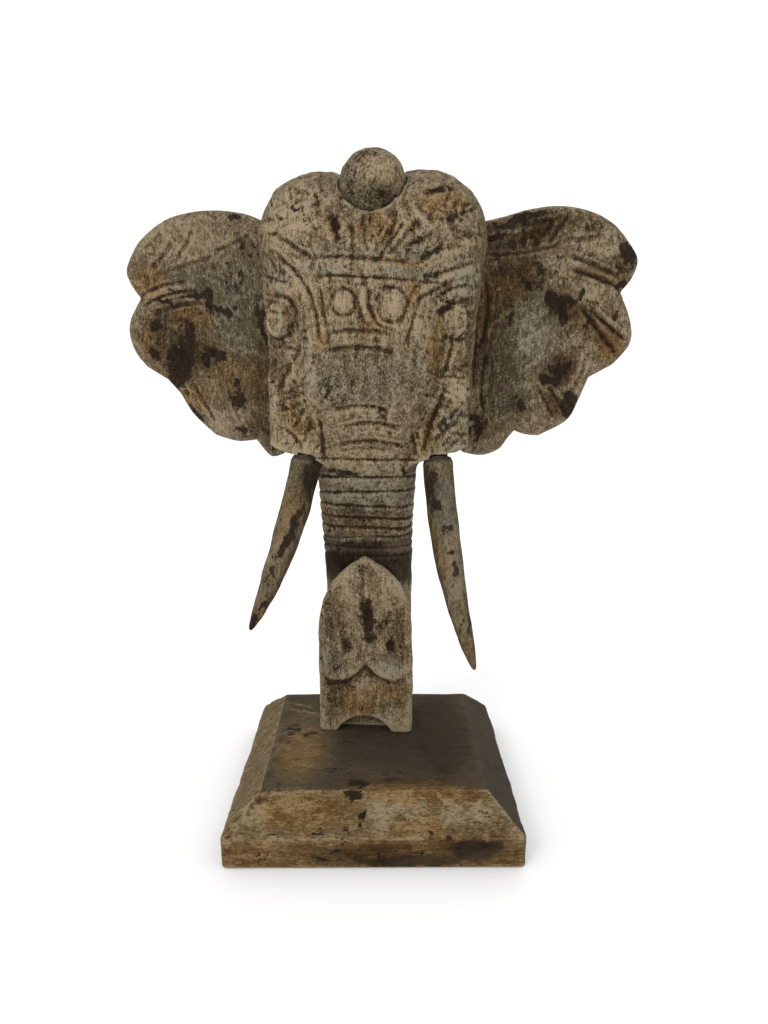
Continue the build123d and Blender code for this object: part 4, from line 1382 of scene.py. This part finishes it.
def make_knob(material):
    """The crown knob: a ball on a collar, with its tenon."""
    seat, axis = knob_axis()

    def field(x, y, z):
        ball = ellipsoid(x, y, z, KNOB_CENTRE, (KNOB_RADIUS,) * 3)
        above = (x - seat[0]) * axis[0] + (y - seat[1]) * axis[1] + (z - seat[2]) * axis[2]
        ball = common(ball, COLLAR_HEIGHT + 0.2 - above, 1.5)
        collar = rod(x, y, z, seat + 0.2 * axis, seat + COLLAR_HEIGHT * axis, COLLAR_RADIUS)
        bottom = seat - (KNOB_TENON_LENGTH - 0.2) * axis
        tenon = rod(x, y, z, bottom, seat + axis, KNOB_TENON_RADIUS - 0.1)
        return union(union(ball, collar, 0.6), tenon, 0.5)

    skin = Skin.of_field(field, ticks((-18, 25, 0.62)), ticks((-38, 16, 0.62)), ticks((340, 394, 0.62)))
    p = skin.points
    x, _, z = p.T
    above = (p - seat) @ axis
    groove = bell(above - COLLAR_HEIGHT - 0.1, 0.8)
    chipped = 0.5 * (gouges(p, 9, 61) - 0.5) + bumps(p, (0.3, 6, 62), (0.14, 2.2, 63)) + 0.15
    front = skin.facing()
    dent = front * bell(x - DENT_MIDDLE[0], DENT_SPREAD[0]) * bell(z - DENT_MIDDLE[1], DENT_SPREAD[1])
    skin.push(rising(above, 0, 2) * (chipped + DENT_DEPTH * dent) + 0.3 * groove)
    marks = marks_of(skin, groove, all_stains(*wandering(p, x, z, 221), KNOB_STAINS_AND_PAINTED_LIGHT, front))
    add_mesh("crown_knob", to_world(skin.points), skin.quads, material, marks)


def tusk_rows(length):
    """Distance along the tusk and radius there, from the end of its tenon to its tip."""
    rows = [(along, TENON_RADIUS - 0.12) for along in np.linspace(0.3 - TENON_LENGTH, -0.1, 16)]
    for share in 1 - np.linspace(1, 0, 130) ** 1.5:
        swell = (1 - share**TUSK_TAPER) ** TUSK_POINT * (1 - 0.16 * bell(share * length, 1.6))
        rows.append((share * length, TUSK_TIP_RADIUS + (TUSK_RADIUS - TUSK_TIP_RADIUS) * swell))
    for angle in (0.4, 0.8, 1.15, 1.4):
        rows.append((length + TUSK_TIP_RADIUS * math.sin(angle), TUSK_TIP_RADIUS * math.cos(angle)))
    return rows


def tusk_rings(name):
    """Rings of points down a tusk, the way along it at each ring, and its length from root to tip."""
    root, down, middle, normal = tusk_arc(name)
    arm = root - middle
    radius = np.linalg.norm(arm)
    swing = math.acos(np.clip(arm @ (np.array(TUSK_ARCS[name][2]) - middle) / radius**2, -1, 1))
    length = radius * swing
    turns = np.linspace(0, 2 * math.pi, TUSK_SIDES, endpoint=False)[:, None]
    rows = tusk_rows(length)
    rings = []
    for along, ring in rows:
        angle = max(along, 0) / radius
        outward = arm / radius * math.cos(angle) + np.cross(normal, arm / radius) * math.sin(angle)
        spot = middle + radius * outward + min(along, 0) * down
        rings.append(spot + ring * (np.cos(turns) * outward + np.sin(turns) * normal))
    return rings, [along for along, _ in rows], length


def make_tusk(name, material):
    """A tapering arc of whittled wood with a round tenon on its root."""
    rings, stations, length = tusk_rings(name)
    points = np.concatenate(rings)
    spine = np.repeat([ring.mean(axis=0) for ring in rings], TUSK_SIDES, axis=0)
    along = np.repeat(stations, TUSK_SIDES)
    past_root = np.maximum(along, 0)
    first = np.arange(len(points) - TUSK_SIDES)
    after = first - first % TUSK_SIDES + (first + 1) % TUSK_SIDES
    skin = Skin(points, np.stack([first, after, after + TUSK_SIDES, first + TUSK_SIDES], axis=1))
    caps = [tuple(range(TUSK_SIDES))[::-1], tuple(range(len(points) - TUSK_SIDES, len(points)))]
    if (skin.normals() * (points - spine)).sum() < 0:
        skin.quads = skin.quads[:, ::-1]
        caps = [cap[::-1] for cap in caps]
    seed = 71 if name == "left" else 81
    whittled = 0.55 * (gouges(points, (7, 7, 42), seed) - 0.5) + 0.1
    whittled += bumps(points, (0.25, (6, 6, 14), seed + 5), (0.1, (2.2, 2.2, 6), seed + 6))
    skin.push(rising(along, 0, 2) * np.clip((length - along) / 8, 0.15, 1) * whittled)
    p = skin.points
    front = p[:, 1] < spine[:, 1] + 3
    stains_and_painted_light = all_stains(*wandering(p, p[:, 0], p[:, 2], seed + 10), TUSK_STAINS_AND_PAINTED_LIGHT[name], front)
    # Painted shade: the tusk is made darker where it faces sideways.
    raise_mark(stains_and_painted_light, "deep", 1.3 * skin.flank())
    # Painted shadow under the cheek: dark stain round the tusk's root, and the groove darkening at the
    # joint.
    raise_mark(stains_and_painted_light, "old", bell(past_root, 5))
    marks = marks_of(skin, bell(past_root, 2), stains_and_painted_light)
    faces = [tuple(quad) for quad in skin.quads] + caps
    add_mesh(f"tusk_{name}", to_world(p), faces, material, marks, f"{name}_tusk")


def screw_wells():
    """Where the two screws stand in the plinth's underside, in millimetres."""
    wells = []
    for side in ("left", "right"):
        low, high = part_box(f"plinth_screw_{side}")
        wells.append(((low[0] + high[0]) * 500, (low[1] + high[1]) * 500))
    return wells


def plinth_field(x, y, z):
    """A square slab: an upright band, four bevels, cut corners and the wells of the screws."""
    half = PLINTH_SIDE / 2
    rise, run = PLINTH_HEIGHT - PLINTH_BAND, PLINTH_BEVEL_RUN
    reach = np.maximum(np.abs(x), np.abs(y))
    band = reach - half - PLINTH_SPARE
    bevel = (rise * (reach - half + run) + run * (z - PLINTH_HEIGHT)) / math.hypot(rise, run) - PLINTH_SPARE
    corner = (np.abs(x) + np.abs(y) - (PLINTH_SIDE - PLINTH_CORNER_CUT)) / math.sqrt(2)
    solid = common(common(common(band, bevel, 1.2), corner, 1.5), z - PLINTH_HEIGHT, 1.4)
    for wx, wy in screw_wells():
        well = np.maximum(np.hypot(x - wx, y - wy) - SCREW_WELL_RADIUS, z - SCREW_SINK)
        solid = cut(solid, well, 0.3)
    return np.maximum(solid, -z)


def plinth_stains(p, normal):
    """The stains of the plinth's front and top, and the even tones of its four sides."""
    x, y, z = p.T
    top = rising(normal[:, 2], 0.85, 0.1)
    front = (normal[:, 1] < -0.4) * (1 - top)
    sideways = np.abs(normal[:, 0]) > 0.4
    flank = sideways * (1 - front)
    u, v = wandering(p, x, z, 231)
    _, w = wandering(p, x, y, 231)
    stains_and_painted_light = all_stains(u, v, PLINTH_FRONT_STAINS, front)
    on_top = all_stains(u, w, PLINTH_TOP_STAINS)
    for kind in STAIN_KINDS:
        raise_mark(stains_and_painted_light, kind, top * on_top[kind])
    raise_mark(stains_and_painted_light, "old", top * (1 - 0.44 * np.maximum(on_top["pale"], on_top["ochre"])))
    # The sides get even tones: the right side darker and greyer all over, the left side darker towards the
    # back.
    raise_mark(stains_and_painted_light, "old", flank * (x > 0) * 0.7)
    raise_mark(stains_and_painted_light, "old", flank * (x < 0) * 0.45 * rising(y, 0, 60))
    raise_mark(stains_and_painted_light, "grey", flank * (x > 0) * 0.9)
    raise_mark(stains_and_painted_light, "deep", sideways * (x > 0) * 0.9)
    raise_mark(stains_and_painted_light, "ochre", front * (z < PLINTH_BAND) * 0.5)
    raise_mark(stains_and_painted_light, "deep", front * (z < PLINTH_BAND) * 0.8)
    return stains_and_painted_light


def make_plinth(material):
    """The plinth with worn edges, a chewed edge on its left and a knife-cut hip at its near left corner."""
    side_ticks = ticks((-87, 88, 1.25))
    skin = Skin.of_field(plinth_field, side_ticks, side_ticks, ticks((-2, 39, 1.2)))
    p = skin.points
    x, y, z = p.T
    normal = skin.normals()
    under_carving = (np.abs(x + 4) < 34) & (y > 0) & (y < 62) & (z > 34)
    free = np.where(under_carving, 0.2, rising(z, 0, 3)) * (normal[:, 2] > -0.5)
    depth = bumps(p, (0.5, (40, 14, 14), 92), (0.2, (9, 3.4, 3.4), 93), (0.1, 2.6, 95))
    depth += 0.3 * (gouges(p, (30, 18, 14), 91) - 0.5)
    edge = np.clip(skin.hollows(6, -0.5), 0, 1)
    depth += 1.3 * edge * np.clip(noise(p, (13, 13, 10), 94), 0, 1)
    chewed = bell(x + 63, 4.5) * falling(y, 10, 20) * (z > 30)
    depth += 1.2 * chewed * np.clip(noise(p, (5, 6, 5), 96) + 0.3, 0, 1)
    hip = np.abs(x - y) / math.sqrt(2)
    knifed = (x < -62) * (y < -62) * (z > PLINTH_BAND) * bell(hip, 4)
    depth += 1.4 * knifed * gouges(p, (5, 5, 14), 97)
    skin.push(free * depth)
    skin.soften(0.2)
    skin.points[:, 2] = np.where(z < 0.5, np.maximum(skin.points[:, 2], 0), skin.points[:, 2])
    marks = marks_of(skin, 0.8 * chewed + 0.5 * knifed, plinth_stains(p, normal))
    add_mesh("plinth", skin.points / 1000, skin.quads, material, marks)


# ---------------------------------------------------------------- stage, lights and camera


def make_stage():
    """A sheet of white studio paper under the plinth."""
    bpy.ops.mesh.primitive_plane_add(size=30, location=(0, 0, -0.0005))
    floor = bpy.context.object
    floor.name = "studio_floor"
    paper = {"Base Color": (0.93, 0.93, 0.93, 1), "Roughness": 0.9, "Specular IOR Level": 0.1}
    floor.data.materials.append(Shader("studio_paper").finished(paper))


# Each softbox: name, place, size across and watts. All aim at the carving's middle.
SOFTBOXES = [("front_softbox", (-0.75, -1.15, 0.95), 0.6, 6.0), ("back_softbox", (0.6, 1.4, 0.9), 0.8, 3.0)]
LIGHT_AIM = (0, 0, 0.22)
SKY_STRENGTH = 1.08


def add_light(name, place, size, watts):
    """A round area light."""
    data = bpy.data.lights.new(name, "AREA")
    data.shape = "DISK"
    data.size = size
    data.energy = watts
    light = bpy.data.objects.new(name, data)
    light.location = place
    light.rotation_euler = (Vector(LIGHT_AIM) - Vector(place)).to_track_quat("-Z", "Y").to_euler()
    bpy.context.scene.collection.objects.link(light)


def make_lights():
    """An even white sky and the softboxes."""
    world = bpy.data.worlds.new("studio")
    world.use_nodes = True
    background = world.node_tree.nodes["Background"]
    background.inputs["Color"].default_value = (1, 1, 1, 1)
    background.inputs["Strength"].default_value = SKY_STRENGTH
    bpy.context.scene.world = world
    for softbox in SOFTBOXES:
        add_light(*softbox)


# The camera's place in metres, its pitch down and its turn in radians, and its lens in millimetres.
CAMERA_PLACE = (0.0034, -0.46835, 0.2768)
CAMERA_PITCH = 0.194
CAMERA_TURN = -0.00582
CAMERA_LENS = 27.17578125
SENSOR_HEIGHT = 36.0


def make_camera():
    """The camera that sees the carving from the front and a little above."""
    data = bpy.data.cameras.new("photo_view")
    data.sensor_fit = "VERTICAL"
    data.sensor_height = SENSOR_HEIGHT
    data.lens = CAMERA_LENS
    data.clip_start = 0.01
    camera = bpy.data.objects.new("photo_view", data)
    camera.location = CAMERA_PLACE
    camera.rotation_euler = (math.pi / 2 - CAMERA_PITCH, 0, CAMERA_TURN)
    bpy.context.scene.collection.objects.link(camera)
    bpy.context.scene.camera = camera


# ---------------------------------------------------------------- build it all

OLD_BROWN = ((30, 21, 12), (44, 34, 23), (62, 51, 38), (92, 80, 62))
PLINTH_OLD = ((59, 48, 34), (67, 56, 41), (76, 65, 49), (103, 87, 61))
HEAD_TONES = ((56, 40, 22), (100, 83, 57), (128, 111, 83), (170, 153, 124))
LEFT_EAR_TONES = ((46, 33, 16), (85, 70, 47), (113, 96, 71), (160, 143, 116))
RIGHT_EAR_TONES = ((48, 35, 18), (88, 73, 50), (116, 99, 73), (166, 150, 122))
TUSK_TONES = ((56, 44, 27), (84, 70, 49), (111, 97, 72), (138, 123, 98))
PLINTH_TONES = ((70, 52, 28), (99, 79, 48), (119, 98, 65), (156, 138, 108))
UPRIGHT = (1, 1, 2.5)

make_head(weathered_wood("head_wood_limewashed", HEAD_TONES, OLD_BROWN, fine_wear=0.85))
make_ear("left", -1, weathered_wood("left_ear_wood_limewashed", LEFT_EAR_TONES, OLD_BROWN, fine_wear=0.6))
make_ear("right", 1, weathered_wood("right_ear_wood_worn", RIGHT_EAR_TONES, OLD_BROWN, fine_wear=0.6))
make_knob(weathered_wood("knob_wood_limewashed", HEAD_TONES, OLD_BROWN, grain=(1, 1, 3), fine_wear=0.85))
tusk_wood = weathered_wood("tusk_wood_smooth", TUSK_TONES, OLD_BROWN, (1, 1, 14), UPRIGHT, 0.6, 0.6)
for tusk_name in TUSK_ARCS:
    make_tusk(tusk_name, tusk_wood)
make_plinth(weathered_wood("plinth_wood_worn", PLINTH_TONES, PLINTH_OLD, (9, 1, 1), (2.2, 1.2, 1), 0.5))

dowel_wood = turned_wood("dowel_wood")
steel = plated_steel("zinc_plated_steel")
for node_name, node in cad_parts.items():
    if "dowel" in node_name or "screw" in node_name:
        node.data.materials.clear()
        node.data.materials.append(steel if "screw" in node_name else dowel_wood)

make_stage()
make_lights()
make_camera()
bpy.context.scene.view_settings.view_transform = "Standard"
